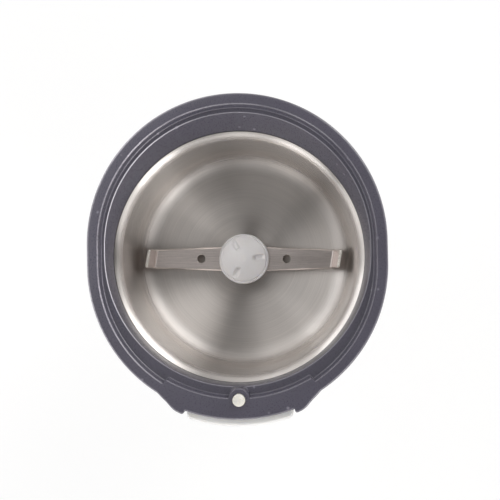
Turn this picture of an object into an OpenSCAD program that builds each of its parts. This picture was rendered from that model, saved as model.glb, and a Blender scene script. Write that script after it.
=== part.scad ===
// Electric spice grinder with its lid off: an oval body, a rim with a lid ledge, a steel bowl,
// a two-armed blade on a vertical motor, a front press button and a lid interlock pin.
// Frame: +Z up, -Y is the front (button side), origin on the table under the middle of the body's box.

/* [Rim] */
// Width of the rim, which is the widest part of the body
rim_w = 96; // [95:0.5:100]
// Straight run between the two round ends of the oval
oval_run = 6.8; // [6:0.2:8]
// Height of the top of the rim above the table
total_h = 138; // [136:1:148]
// Height of the rim's outer skirt
rim_h = 12; // [11.5:0.25:13]
// Width of the flat land outside the lid ledge
land_w = 3.3; // [2.8:0.1:3.5]
// Depth of the lid ledge below the land
ledge_depth = 3; // [2.5:0.25:3.25]
// Inward slope of the step between land and ledge
ledge_draft = 0.9; // [0.5:0.1:1]
// Thickness of the ledge plate
ledge_t = 2.4; // [2:0.1:2.6]
// Width of the flat lid ledge at the sides
ledge_w = 2; // [1.8:0.1:2.2]
// How much longer than wide the mouth is
mouth_run = 2.6; // [1.6:0.2:3]
// How far the front tab stands out past the oval's front
tab_proud = 1.1; // [0.9:0.1:1.5]
// Width of the tab where the ledge jogs inwards
tab_w = 46.4; // [44:0.4:48]
// Width of the notch for the button in the tab
notch_w = 35; // [34:0.5:36]
// Reach of the two nubs beside the notch past its front edge
nub_reach = 1.1; // [0.6:0.1:1.4]

/* [Body] */
// Wall of the body
wall = 2.4; // [2:0.1:2.6]
// Reveal between rim and body
reveal = 0.6; // [0.4:0.1:0.8]
// Draft of the body from top to bottom, on the radius
body_draft = 0.8; // [0.2:0.1:1]
// Height of the feet below the bottom cover
foot_h = 3; // [2:0.25:4]
// Diameter of a foot
foot_d = 11; // [9:0.5:12]
// Thickness of the bottom cover
cover_t = 2.4; // [2:0.1:2.8]
// Diameter of the bore for the cord in the rear bush
cord_bore_d = 6.6; // [5.6:0.2:7.2]

/* [Bowl] */
// How far the inner wall draws in from the mouth to the bowl's lip
funnel_in = 1.5; // [1.4:0.05:1.7]
// Depth of the bowl from lip to floor
bowl_depth = 37.2; // [36.6:0.2:37.8]
// Radius between floor and wall
bowl_fillet = 7.5; // [6:0.5:9]
// Thickness of the steel
steel_t = 0.8; // [0.6:0.1:0.9]

/* [Blade] */
// Clearance between the blade's tips and the bowl's wall
blade_gap = 4.3; // [3.6:0.1:7.6]
// Width of the blade at the hub
blade_w = 9.3; // [8.4:0.1:11]
// Width of the blade at its tips
tip_w = 6.7; // [5.5:0.1:8]
// Thickness of the blade
blade_t = 1.5; // [1.2:0.1:1.8]
// Height of the turned-up tips
tip_h = 6; // [3:0.5:8]
// Diameter of the hub cap
hub_d = 18; // [16:0.5:20]
// Height of the hub cap above the blade
hub_h = 4; // [3.8:0.1:5]
// Diameter of the motor shaft
shaft_d = 6; // [5.8:0.1:6.2]

/* [Controls] */
// Diameter of the lid interlock pin
pin_d = 4; // [3.8:0.1:4.2]
// Travel of the interlock pin, which stands this far above the land
pin_travel = 2; // [1.6:0.1:2.2]
// Reach of the button's face past the tab's front edge
button_proud = 2.7; // [2.4:0.1:3.2]
// Thickness of the button's face
button_t = 2.8; // [2.4:0.1:2.8]
// Height of the button's face
button_h = 44; // [40:1:45]
// Travel of the button
button_travel = 2.5; // [2:0.1:2.5]

/* [Motor] */
// Diameter of the armature
armature_d = 27; // [26:0.5:27.5]
// Room above the armature and stator stacks for the winding and the fan
fan_room = 15; // [15:0.5:19]
// Height of the stacks' lower end above the table
stack_z = 36; // [35.5:0.5:37]

/* [Hidden] */
$fn = 96;
eps = 0.01;      // overshoot of a cut
fit = 0.15;      // gap between pieces that slip together
gap = 0.4;       // gap round a moving piece
run_fit = 0.04;  // radial clearance of a shaft that turns in its bearing
press = 0.02;    // clearance of a pressed piece on its seat
over = 200;      // length of a cut that goes right through

// Plan: ovals about the rim's middle, and round pieces about the bowl's axis
rim_r = rim_w / 2;
axis_y = -0.5;
half_run = oval_run / 2;
ledge_r = rim_r - land_w;
tab_ledge_r = ledge_r + 0.9;
mouth_r = ledge_r - ledge_w;
mouth_y = 1.7;
notch_half = notch_w / 2;
tab_half = tab_w / 2;
tab_r = rim_r + half_run + axis_y + tab_proud;
pin_y = axis_y - tab_r + 6.2;
tab_back = pin_y + 6.3;
button_r = tab_r + button_proud;
bush_out = 1.2;
body_y = (button_r - axis_y - half_run - rim_r + reveal - bush_out) / 2;

// Heights from the table up
rim_z = total_h - rim_h;
ledge_z = total_h - ledge_depth;
plate_low = ledge_z - ledge_t;
floor_z = rim_z - bowl_depth;
carrier_t = 2.4;
carrier_z = floor_z - steel_t - carrier_t - 1.6;
carrier_top = carrier_z + carrier_t;
cover_top = foot_h + cover_t;
boss_top = cover_top + 1.2;

// Screws
screw_r = 1.4;
pilot_r = screw_r + press;
clear_r = screw_r + 0.2;
head_r = 2.7;
head_h = 1.8;
screw_l = 12;

// Body
body_r = rim_r - reveal;
body_in_r = body_r - wall;
tongue_h = 4;
tongue_t = 1.2;
tongue_r = body_in_r + tongue_t;
skirt_in_r = tongue_r + 0.3;
cover_r = body_in_r - body_draft;
bay_r = tab_r - reveal;
bay_wall = 2;
bay_in_r = bay_r - bay_wall;
bay_z = carrier_z - 5;
bay_slope = 15;
pillar_r = 3.4;
foot_x = cover_r - 17.2;
foot_y = cover_r - 16.2;
cord_z = 13;
pad_y = half_run + body_in_r - 2;
hook_w = 5;
hook_z = rim_z + 1.4;
hook_h = 1.2;

// Bowl and what carries it
lip_r = mouth_r - funnel_in;
lip_round = 1.6;
bowl_wall_r = lip_r - lip_round;
carrier_in_r = lip_r + 0.2;
carrier_out_r = carrier_in_r + 1.2;
flange_r = carrier_out_r + 0.2;
pillar_reach = carrier_in_r - head_r - 0.3;
web_l = body_in_r + half_run - pillar_reach + 4;
web_t = 2;
gasket_t = 0.8;
funnel_t = 1.4;
seal_r = 7;
seal_lip_t = 1.5;

// Shaft line
shaft_r = shaft_d / 2;
shaft_low = 9.6;
blade_z = floor_z + 5.2;
blade_top = blade_z + blade_t;
thread_r = shaft_r - 0.5;
flat_half = thread_r - 0.5;
nut_h = 2.2;
hub_r = hub_d / 2;
tip_run = 3;
bend_x = bowl_wall_r - blade_gap - tip_run;
hole_x = 15.5;
hole_r = 1.5;

// Motor
arm_r = armature_d / 2;
bore_r = arm_r + 0.5;
slots = 12;
slot_r = 1.7;
slot_at = arm_r - 3.6;
stator_x = 26;
stator_y = 24;
yoke_t = 3.5;
coil_over = 6.5;
coil_half = 15;
coil_y = stator_y - yoke_t - 3.8;
coil_t = 3.4;
neck_half = 8;
bolt_r = 1.5;
bolt_x = 26;
post_r = 3.4;
plate_t = 3;
plate_z = carrier_z - 4 - plate_t;
plate_top = plate_z + plate_t;
stack_top = plate_z - fan_room;
cup_r = 8;
bearing_r = 6;
bearing_h = 6;
base_z = 13;
base_top = base_z + plate_t;
brush_z = 24.4;
brush_half = 4;
brush_w = 5.9;
brush_out = 27;
comm_r = 8.5;
comm_z = base_top + 4.2;
mount_x = carrier_out_r - 13.6;
mount_y = 9;
mount_r = 5;
fan_z = plate_z - 6.8;
fan_r = bolt_x - post_r - 1.6;

// Interlock pin
pin_r = pin_d / 2;
pin_top = total_h + pin_travel;
boss_r = pin_r + 1.35;
tube_r = pin_r + 1;
tube_z = rim_z + 1.7;
rod_r = 1.4;
stop_r = pin_r + 0.7;
stop_h = 2.4;
stop_z = tube_z - 0.3 - stop_h;
rod_z = carrier_z - 5;
seat_z = rim_z - 16;
guide_t = 2;
guide_y = pin_y - 2.2;
guide_half = 3;
guide_step = 12;
low_guide_z = seat_z - guide_step;

// Button
button_in_r = button_r - button_t;
button_half = notch_half - gap;
recess_r = tab_r - 3.6;
button_top = ledge_z - 0.8;
button_z = button_top - button_h;
rib_t = 1.6;
rib_low = button_z + 2;
rib_top = rim_z - 4;
rib_back = pin_y + 3.1;
nub_z = button_z + 8;
tail_x = 6.5;
tail_w = 6;
tail_z = rod_z + 1.8;
tail_y = pin_y - 1.6;
tail_t = 1.7;
spring_x = -9;
spring_z = rim_z - 14;
spring_r = 3;
spindle_r = 2.2;
pad_half = 3.6;
pad_y0 = axis_y - sqrt(button_in_r * button_in_r - (pad_half - spring_x) * (pad_half - spring_x)) + 0.4;
block_y = axis_y - sqrt(carrier_out_r * carrier_out_r - spring_x * spring_x) - 1.3;
spindle_l = block_y - pad_y0 - button_travel - gap;

// Switches, either side of a hanging plate
switch_l = 20;
switch_w = 6.4;
switch_h = 10;
terminal_l = 3.4;
hole_in = 3.6;
hole_places = [5.2, 14.8];
bracket_x = 4.7;
bracket_t = 1.6;
bracket_y = pin_y + 0.3;
bracket_l = 18;
flange_w = 11;
flange_y = bracket_y + 5;
flange_l = 12;
flange_screws = [for (y = [3, 9]) [bracket_x - 7.7, flange_y + y]];
lock_y = pin_y - 0.7;
lock_z = rod_z - 5 - switch_h;
power_y = pin_y + 4.8;
power_z = tail_z - 19.3;
lever_t = 0.4;
lever_w = 3.4;
lever_rise = 0.4;
lever_in = 1.6;
lever_l = switch_l - lever_in + 0.4;
touch = 0.25;
lock_arm = lock_y + switch_l - lever_in - pin_y;
lock_rest = atan((rod_z - touch - lever_t - lock_z - switch_h - lever_rise) / lock_arm);
power_arm = tail_z + 0.4 - power_z - lever_in;
power_rest = atan((power_y - tail_y - tail_t - touch - lever_t - lever_rise) / power_arm);
plunger_r = 1;
plunger_at = 5;
plunger_up = 1;

// Terminal block and capacitor on the bottom cover
block_size = [20, 10, 9];
block_at = [-block_size.x / 2, axis_y + brush_out + 2];
cap_size = [18, 6, 12];
cap_at = [-cap_size.x / 2, pin_y + cap_size.y + 0.3];
tray_wall = 1;
slot_w = 2.4;
slot_l = 34;
slot_pitch = 5;

// Places of the four pillars, on a circle about the bowl's axis
front_turn = 27.7;
front_x = pillar_reach * cos(front_turn);
rear_x = block_size.x / 2 + tray_wall + pillar_r + 0.6;
function on_reach(x, s) = [x, axis_y + s * sqrt(pillar_reach * pillar_reach - x * x)];
pillars = [on_reach(-front_x, -1), on_reach(front_x, -1), on_reach(-rear_x, 1), on_reach(rear_x, 1)];
foot_places = [for (x = [-foot_x, foot_x], y = [-foot_y, foot_y]) [x, y]];
mounts_at = [for (x = [-mount_x, mount_x], y = [-mount_y, mount_y]) [x, y]];

// Front of a circle about the bowl's axis, and of an oval, at a distance from the middle
function tab_front(x, r) = axis_y - sqrt(r * r - x * x);
function oval_front(x, r) = -half_run - sqrt(r * r - x * x);

// ---- Shapes that repeat ----

// Moves a piece from the oval's middle to the frame's origin
module in_frame() translate([0, body_y, 0]) children();
// Puts a piece on the bowl's and motor's axis
module on_axis() translate([0, axis_y, 0]) children();
// Extrudes a plan from one height to another
module rise(z0, z1) translate([0, 0, z0]) linear_extrude(z1 - z0) children();
// Repeats a piece at each place of a list
module at_each(places) for (p = places) translate([p.x, p.y, 0]) children();
// Upright cylinder between two heights
module post(r, z0, z1) translate([0, 0, z0]) cylinder(r = r, h = z1 - z0);
// Round bar along Y
module bar_y(r, y0, y1) translate([0, y0, 0]) rotate([-90, 0, 0]) cylinder(r = r, h = y1 - y0);
// Box between two corners
module box(a, b) translate(a) cube(b - a);

// Plan of an oval: two round ends with a straight run between them
module oval(r, run = oval_run) {
    for (s = [-1, 1]) translate([0, s * run / 2]) circle(r);
    square([2 * r, run], center = true);
}

// Carries a profile, drawn as radius and height, round an oval
module oval_turn(run = oval_run) {
    for (turn = [0, 180])
        rotate([0, 0, turn]) translate([0, run / 2, 0]) rotate_extrude(angle = 180) children();
    for (side = [0, 1])
        mirror([side, 0, 0]) translate([0, run / 2, 0]) rotate([90, 0, 0]) linear_extrude(run) children();
}

// Plan of the strip in front of the body, between two sides
module front_strip(half, back) translate([-half, -over]) square([2 * half, over + back]);

// Plan of the front tab with a nub either side of the notch, drawn in by an inset
module tab_plan(inset = 0) {
    front = tab_front(notch_half, tab_r) + inset;
    side = notch_half + 8.5;
    intersection() {
        translate([0, axis_y]) circle(tab_r - inset);
        translate([-notch_half - 1, -2 * tab_r]) square([notch_w + 2, 1.4 * tab_r]);
    }
    for (m = [0, 1]) mirror([m, 0]) polygon([
        [notch_half - 1, front + 10], [side - inset, oval_front(side, rim_r) + inset],
        [side - 2.9 - inset, front + 2.8], [side - 4.8 - inset, front + 0.45],
        [side - 5.8 - inset, front - 0.25], [notch_half + 1, front - nub_reach],
        [notch_half, front - nub_reach / 2], [notch_half - 1, front]]);
}

// Pan-head screw pointing down, with the seat of its head at the origin
module screw(l, r = screw_r) {
    difference() {
        cylinder(r = head_r, h = head_h);
        for (turn = [0, 90])
            rotate([0, 0, turn]) translate([-1.6, -0.3, head_h - 0.9]) cube([3.2, 0.6, 1]);
    }
    post(r, -l, eps);
}

// Coil spring of round wire, standing on the origin
function coil_ring(a, r, wire, climb, sides) = [for (i = [0 : sides - 1])
    let (b = 360 * i / sides, d = r + wire * cos(b))
    [d * cos(a), d * sin(a), a / 360 * climb + wire * sin(b)]];
module coil(r, wire, h, turns, sides = 6, steps = 14) {
    rings = turns * steps;
    climb = (h - 2 * wire) / turns;
    points = [for (k = [0 : rings]) each coil_ring(k * 360 / steps, r, wire, climb, sides)];
    skin = [for (k = [0 : rings - 1], i = [0 : sides - 1])
        let (j = (i + 1) % sides) [k * sides + i, (k + 1) * sides + i, (k + 1) * sides + j, k * sides + j]];
    start = [for (i = [0 : sides - 1]) i];
    end = [for (i = [sides - 1 : -1 : 0]) rings * sides + i];
    translate([0, 0, wire]) polyhedron(points, concat([start], skin, [end]));
}

// ---- Body ----

// Pillars under the carrier, tied to the wall by a web each, and the rear pad for the bush
module housing_ribs() {
    for (p = pillars) {
        translate([p.x, p.y, 0]) post(pillar_r, boss_top, carrier_z);
        translate([p.x, p.y, boss_top]) rotate([0, 0, atan2(p.y, p.x)])
            translate([0, -web_t / 2, 0]) cube([web_l, web_t, carrier_z - boss_top]);
    }
    box([-9, pad_y, cover_top], [9, pad_y + 4, cord_z + 9]);
}

// Bulge round the button, running out into the body below it
module bay_block() {
    rise(bay_z, rim_z) tab_plan(reveal);
    hull() {
        rise(bay_z, bay_z + 1) tab_plan(reveal, $fn = 48);
        translate([0, bay_slope / 3, 0]) rise(bay_z - bay_slope, bay_z) tab_plan(reveal, $fn = 48);
    }
}

module body_block() {
    low = body_r - body_draft;
    oval_turn() polygon([[0, foot_h], [low - 1.2, foot_h], [low, foot_h + 1.2], [body_r, rim_z], [0, rim_z]]);
    rise(rim_z - eps, rim_z + tongue_h) oval(tongue_r);
}

// Opening of the button, and the pocket of its tail below
module bay_room() {
    rise(button_z - gap, over) front_strip(notch_half, tab_back - 2);
    rise(bay_z + 1, button_z) intersection() {
        translate([0, axis_y]) circle(bay_in_r);
        front_strip(notch_half, tab_back - 2);
    }
    rise(rim_z, over) front_strip(tab_half + 3, tab_back + 8);
}

module housing() color("white") difference() {
    union() {
        difference() {
            union() {
                body_block();
                bay_block();
            }
            rise(cover_top - eps, over) oval(body_in_r);
            rise(0, cover_top) oval(cover_r + fit);
            bay_room();
        }
        intersection() {
            housing_ribs();
            rise(cover_top, carrier_z) oval(body_in_r + wall / 2);
        }
    }
    translate([0, 0, cord_z]) bar_y(5, pad_y - 1, over);
    for (turn = [0, 180])
        rotate([0, 0, turn]) box([body_in_r - 1, -hook_w / 2 - fit, hook_z - fit],
            [tongue_r + 1, hook_w / 2 + fit, hook_z + hook_h + fit]);
    box([-hook_w / 2 - fit, half_run + body_in_r - 1, hook_z - fit],
        [hook_w / 2 + fit, half_run + tongue_r + 1, hook_z + hook_h + fit]);
    at_each(pillars) {
        post(pilot_r, boss_top - eps, boss_top + screw_l);
        post(pilot_r, carrier_z - screw_l, carrier_z + eps);
    }
}

// Low wall that locates a block on the cover
module tray(at, size) difference() {
    box([at.x - tray_wall - fit, at.y - tray_wall - fit, cover_top - eps],
        [at.x + size.x + tray_wall + fit, at.y + size.y + tray_wall + fit, cover_top + 2]);
    box([at.x - fit, at.y - fit, cover_top], [at.x + size.x + fit, at.y + size.y + fit, cover_top + 3]);
}

module bottom_cover() color("gainsboro") difference() {
    union() {
        rise(foot_h, cover_top) oval(cover_r);
        at_each(foot_places) post(foot_d / 2 - 1, cover_top - eps, cover_top + 2);
        at_each(pillars) post(pillar_r, cover_top - eps, boss_top);
        tray(block_at, block_size);
        tray(cap_at, cap_size);
    }
    at_each(foot_places) post(foot_d / 2 - 2.5, 0, over);
    at_each(pillars) {
        post(clear_r, 0, over);
        post(head_r + fit, 0, foot_h + head_h);
    }
    // Cooling slots under the motor
    for (i = [-4 : 4])
        translate([slot_pitch * i, axis_y, 0]) rise(0, cover_top + 1)
            square([slot_w, slot_l - 2 * abs(i)], center = true);
}

module feet() color("dimgray") at_each(foot_places) {
    cylinder(r1 = foot_d / 2 - 0.6, r2 = foot_d / 2, h = 0.8);
    post(foot_d / 2, 0.8, foot_h);
    post(foot_d / 2 - 2.5 - fit, foot_h - eps, cover_top + 2);
}

module cover_screws() color("silver") at_each(pillars)
    translate([0, 0, foot_h + head_h]) rotate([180, 0, 0]) screw(screw_l);

module cord_bush() color("dimgray") translate([0, 0, cord_z]) difference() {
    union() {
        bar_y(6.8, pad_y - 2, pad_y);
        bar_y(5 - fit, pad_y - eps, half_run + body_r);
        bar_y(6.3, half_run + body_r, half_run + body_r + bush_out);
    }
    bar_y(cord_bore_d / 2, 0, over);
}

// ---- Rim ----

// Profile of the lid ledge's cut: vertical land edge, sloping step, flat ledge
module ledge_profile(r) polygon([[0, ledge_z], [r - ledge_draft, ledge_z], [r, total_h], [r, over], [0, over]]);

// Room for the lid: the oval, with a round step in the tab, and the pin's boss left standing
module ledge_room() difference() {
    union() {
        difference() {
            oval_turn() ledge_profile(ledge_r);
            rise(0, over) front_strip(tab_half, tab_back + 8);
        }
        intersection() {
            on_axis() rotate_extrude() ledge_profile(tab_ledge_r);
            rise(0, over) front_strip(tab_half + eps, tab_back + 8);
        }
    }
    translate([0, pin_y, 0]) post(boss_r, 0, total_h);
}

// Funnel from the mouth at the ledge down to the bowl's lip
module funnel(grow, low) hull() {
    translate([0, mouth_y, ledge_z]) linear_extrude(eps) oval(mouth_r + grow, mouth_run, $fn = 64);
    translate([0, axis_y, low]) cylinder(r = lip_r + grow, h = eps, $fn = 64);
}

// Hollow of the rim: skirt, button's recess, and the space round the funnel and the pin's tube
module collar_room() difference() {
    union() {
        rise(rim_z - eps, rim_z + tongue_h + 0.5) oval(skirt_in_r);
        rise(rim_z - eps, plate_low) {
            oval(body_in_r + gap);
            front_strip(notch_half, tab_back);
        }
        rise(rim_z - eps, ledge_z) difference() {
            front_strip(notch_half, tab_back);
            translate([0, axis_y]) circle(recess_r);
        }
    }
    funnel(funnel_t, rim_z + gasket_t);
    translate([0, pin_y, 0]) post(tube_r, tube_z, over);
    // Web that ties the tube to the funnel
    box([-tube_r / 2, pin_y, tube_z], [tube_r / 2, pin_y + tube_r + 1, over]);
}

module collar() color([0.34, 0.34, 0.38]) difference() {
    union() {
        difference() {
            rise(rim_z, total_h) {
                oval(rim_r);
                tab_plan();
            }
            collar_room();
        }
        for (turn = [0, 180])
            rotate([0, 0, turn])
                box([tongue_r - gap, -hook_w / 2, hook_z], [skirt_in_r + eps, hook_w / 2, hook_z + hook_h]);
        box([-hook_w / 2, half_run + tongue_r - gap, hook_z],
            [hook_w / 2, half_run + skirt_in_r + gap, hook_z + hook_h]);
    }
    ledge_room();
    funnel(0, rim_z + gasket_t - 2 * eps);
    translate([0, pin_y, 0]) post(pin_r + fit, rim_z, over);
}

// ---- Bowl and carrier ----

// Quarter of a ring in one quadrant about a centre
module quarter(centre, r, t, quadrant) translate(centre) intersection() {
    difference() {
        circle(r + t);
        circle(r);
    }
    rotate(90 * quadrant) square(r + t);
}

// Half section of the bowl: floor, fillet, wall, rolled lip and flange, all of one thickness
module bowl() color("silver") on_axis() rotate_extrude() {
    fillet_z = floor_z + bowl_fillet;
    translate([seal_r + press, floor_z - steel_t])
        square([bowl_wall_r - bowl_fillet - seal_r - press, steel_t]);
    quarter([bowl_wall_r - bowl_fillet, fillet_z], bowl_fillet, steel_t, 3);
    translate([bowl_wall_r, fillet_z]) square([steel_t, rim_z - lip_round - fillet_z]);
    quarter([lip_r, rim_z - lip_round], lip_round - steel_t, steel_t, 1);
    translate([lip_r, rim_z - steel_t]) square([flange_r - lip_r, steel_t]);
}

module bowl_gasket() color("black") on_axis() rotate_extrude()
    translate([carrier_in_r, rim_z]) square([carrier_out_r - carrier_in_r, gasket_t]);

// Guide of the interlock rod, standing out from the carrier's ring
module rod_guide(top) box([-guide_half, guide_y, top - guide_t], [guide_half, pin_y + 4.4, top]);

module bowl_carrier() color("ivory") difference() {
    union() {
        on_axis() post(carrier_out_r, carrier_z, rim_z - steel_t);
        rod_guide(seat_z);
        rod_guide(low_guide_z);
        // Seat and spindle of the button's spring
        box([spring_x - pad_half, block_y, spring_z - pad_half],
            [spring_x + pad_half, block_y + 5, spring_z + pad_half]);
        translate([spring_x, 0, spring_z]) bar_y(spindle_r, block_y - spindle_l, block_y + eps);
    }
    on_axis() post(carrier_in_r, carrier_top, over);
    on_axis() post(seal_r - 2, 0, over);
    translate([0, pin_y, 0]) post(rod_r + fit, 0, over);
    at_each(pillars) post(clear_r, 0, over);
    at_each(mounts_at) on_axis() post(pilot_r, 0, over);
    at_each(flange_screws) post(pilot_r, 0, over);
}

module carrier_screws() color("silver") {
    at_each(pillars) translate([0, 0, carrier_top]) screw(screw_l);
    at_each(flange_screws) translate([0, 0, carrier_z - bracket_t])
        rotate([180, 0, 0]) screw(bracket_t + carrier_t);
}

// Rubber seal: foot on the carrier, neck through the bowl's floor, lip inside the bowl
module shaft_seal() color("dimgray") on_axis() rotate_extrude() difference() {
    union() {
        translate([0, carrier_top]) square([seal_r + 2, floor_z - steel_t - carrier_top]);
        translate([0, carrier_top]) square([seal_r, floor_z - carrier_top + eps]);
        translate([0, floor_z]) square([seal_r + 1.5, seal_lip_t]);
    }
    translate([0, carrier_top - eps]) square([shaft_r + run_fit + press, 10]);
    translate([0, carrier_top + 0.8]) square([shaft_r + 0.8, floor_z - carrier_top - 0.6]);
}

// ---- Blade and shaft line ----

// Plan of the flat part of the blade
module blade_plan() difference() {
    polygon([[-bend_x, -tip_w / 2], [0, -blade_w / 2], [bend_x, -tip_w / 2],
             [bend_x, tip_w / 2], [0, blade_w / 2], [-bend_x, tip_w / 2]]);
    for (s = [-1, 1]) translate([s * hole_x, 0]) circle(hole_r);
    thread_plan();
}

// Section of the shaft's threaded end, round with two flats
module thread_plan() intersection() {
    circle(thread_r);
    square([2 * thread_r, 2 * flat_half], center = true);
}

module blade() color("silver") on_axis() {
    rise(blade_z, blade_top) blade_plan();
    for (turn = [0, 180])
        rotate([0, 0, turn]) translate([bend_x, 0, blade_z]) rotate([0, -atan2(tip_h, tip_run), 0])
            difference() {
                translate([0, -tip_w / 2, 0]) cube([norm([tip_h, tip_run]), tip_w, blade_t]);
                for (s = [-1, 1]) translate([norm([tip_h, tip_run]), s * tip_w / 2, -1])
                    rotate([0, 0, 45]) cube([2, 2, 6], center = true);
            }
}

module blade_spacer() color("gray") on_axis() rotate_extrude() {
    translate([shaft_r + press, blade_z - 3]) square([2, 3]);
    translate([shaft_r + press, blade_z - 1.6]) square([4.6, 1.6]);
}

module hub_nut() color("silver") on_axis() rise(blade_top, blade_top + nut_h) difference() {
    circle(4.2, $fn = 6);
    offset(press) thread_plan();
}

// Domed cap with a plain edge, clipped over the nut, and three radial notches in its dome
module hub_cap() color("white") on_axis() difference() {
    edge = 0.8;
    dome = hub_h - edge;
    dome_r = (hub_r * hub_r + dome * dome) / (2 * dome);
    union() {
        post(hub_r, blade_top, blade_top + edge);
        intersection() {
            translate([0, 0, blade_top + hub_h - dome_r]) sphere(dome_r);
            post(hub_r, blade_top + edge - eps, blade_top + hub_h);
        }
    }
    post(4.3, blade_top - eps, blade_top + nut_h + 0.1);
    for (turn = [0, 120, 240])
        rotate([0, 0, turn]) translate([hub_r * 0.36, -0.8, blade_top + hub_h - 1.1])
            rotate([0, 20, 0]) cube([hub_r * 0.6, 1.6, 4]);
}

module motor_shaft() color("silver") on_axis() {
    post(shaft_r, shaft_low, blade_z);
    rise(blade_z - eps, blade_top + nut_h - 0.1) thread_plan();
}

module armature_core() color("gray") on_axis() rise(stack_z, stack_top) difference() {
    circle(arm_r);
    circle(shaft_r + press);
    for (i = [1 : slots]) rotate(360 / slots * i) {
        translate([slot_at, 0]) circle(slot_r);
        translate([slot_at, -0.6]) square([5, 1.2]);
    }
}

module armature_winding() color("peru") on_axis() {
    for (i = [1 : slots]) rotate([0, 0, 360 / slots * i]) translate([slot_at, 0, 0])
        post(slot_r - 0.1, stack_z - 1, stack_top + 1);
    rotate_extrude() for (z = [stack_z - 5.2, stack_top + 0.2])
        translate([4.4, z]) polygon([[0, 0], [6.2, 0], [7.4, 1.4], [7.4, 3.6], [6.2, 5], [0, 5]]);
}

module commutator() color("chocolate") on_axis() difference() {
    union() {
        post(5, base_top + 1.2, comm_z + eps);
        post(comm_r, comm_z, stack_z - 5.8);
        post(comm_r + 1.1, brush_z + brush_half + 0.5, stack_z - 5.8);
    }
    post(shaft_r + press, 0, over);
    for (i = [1 : slots]) rotate([0, 0, 360 / slots * (i + 0.5)])
        box([comm_r - 0.8, -0.25, comm_z - eps], [comm_r + 2, 0.25, over]);
}

module cooling_fan() color("beige") on_axis() difference() {
    union() {
        post(5.5, fan_z, plate_z - 1.2);
        post(fan_r, fan_z, fan_z + 1.2);
        for (i = [1 : 8]) rotate([0, 0, 45 * i])
            box([5, -0.6, fan_z + 1], [fan_r - 0.6, 0.6, plate_z - 1.6]);
    }
    post(shaft_r + press, 0, over);
}

module thrust_washers() color("saddlebrown") on_axis() for (z = [base_top + 0.2, plate_z - 1.2])
    rise(z, z + 1) difference() {
        circle(5);
        circle(shaft_r + press);
    }

// ---- Motor ----

// Lamination: a frame with two poles, pole shoes round the bore and an ear for each bolt
module lamination() difference() {
    union() {
        difference() {
            square([2 * stator_x, 2 * stator_y], center = true);
            square([2 * (stator_x - yoke_t), 2 * (stator_y - yoke_t)], center = true);
        }
        for (s = [-1, 1]) {
            translate([s * bolt_x, 0]) circle(post_r);
            translate([-neck_half, s > 0 ? bore_r : -stator_y + 1])
                square([2 * neck_half, stator_y - 1 - bore_r]);
        }
        intersection() {
            circle(bore_r + 2.2);
            for (s = [-1, 1]) translate([-bore_r, s * bore_r - bore_r / 2]) square([2 * bore_r, bore_r]);
        }
    }
    circle(bore_r);
    for (s = [-1, 1]) translate([s * bolt_x, 0]) circle(bolt_r + 0.05);
}

module stator_core() color("gray") on_axis() rise(stack_z, stack_top) lamination();

module field_coils() color("peru") on_axis() for (turn = [0, 180])
    rotate([0, 0, turn]) difference() {
        box([-coil_half, coil_y, stack_z - coil_over], [coil_half, coil_y + coil_t, stack_top + coil_over]);
        box([-neck_half - 0.1, 0, stack_z - 0.1], [neck_half + 0.1, over, stack_top + 0.1]);
        for (s = [-1, 1], z = [stack_z - coil_over, stack_top + coil_over])
            translate([s * coil_half, over / 2, z]) rotate([0, 45, 0]) cube([4, over + 2, 4], center = true);
    }

module upper_bracket() color("lightgray") on_axis() difference() {
    union() {
        rise(plate_z, plate_top) {
            square([2 * mount_x, 2 * (mount_y + mount_r)], center = true);
            for (p = mounts_at) translate(p) circle(mount_r);
        }
        post(cup_r, plate_z, plate_z + bearing_h);
        for (s = [-1, 1]) translate([s * bolt_x, 0, 0]) post(post_r, stack_top, plate_top);
    }
    post(bearing_r, 0, over);
    at_each(mounts_at) post(clear_r, 0, over);
    for (s = [-1, 1]) translate([s * bolt_x, 0, 0]) post(bolt_r + 0.05, 0, over);
    for (x = [-15, 15], y = [-8, 8]) translate([x, y, 0]) post(3, 0, over);
}

module lower_bracket() color("lightgray") on_axis() difference() {
    union() {
        rise(base_z, base_top) {
            square([2 * (bolt_x + post_r), 16], center = true);
            square([12, 2 * brush_out], center = true);
        }
        post(cup_r, shaft_low, base_top);
        for (s = [-1, 1]) {
            translate([s * bolt_x, 0, 0]) post(post_r, base_z, stack_z);
            box([-brush_half, s > 0 ? 12 : -brush_out, base_top - eps],
                [brush_half, s > 0 ? brush_out : -12, brush_z - brush_half]);
        }
    }
    post(bearing_r, base_top - bearing_h, over);
    post(shaft_r + gap, 0, over);
    for (s = [-1, 1]) translate([s * bolt_x, 0, 0]) post(bolt_r + 0.05, 0, over);
}

// Bronze sleeve bearing
module sleeve(z) on_axis() rise(z, z + bearing_h) difference() {
    circle(bearing_r);
    circle(shaft_r + run_fit);
}
module upper_bearing() color("goldenrod") sleeve(plate_z);
module lower_bearing() color("goldenrod") sleeve(base_top - bearing_h);

module motor_bolts() color("silver") on_axis() for (s = [-1, 1])
    translate([s * bolt_x, 0, plate_top]) screw(plate_top - shaft_low, bolt_r);

module motor_nuts() color("silver") on_axis() for (s = [-1, 1])
    translate([s * bolt_x, 0, 0]) rise(base_z - 2.4, base_z) difference() {
        circle(3.1, $fn = 6);
        circle(bolt_r);
    }

module rubber_mounts() color("black") on_axis() at_each(mounts_at) rise(plate_top, carrier_z) difference() {
    circle(mount_r);
    circle(clear_r);
}

module mount_screws() color("silver") on_axis() at_each(mounts_at)
    translate([0, 0, plate_z]) rotate([180, 0, 0]) screw(carrier_top - plate_z);

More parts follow.
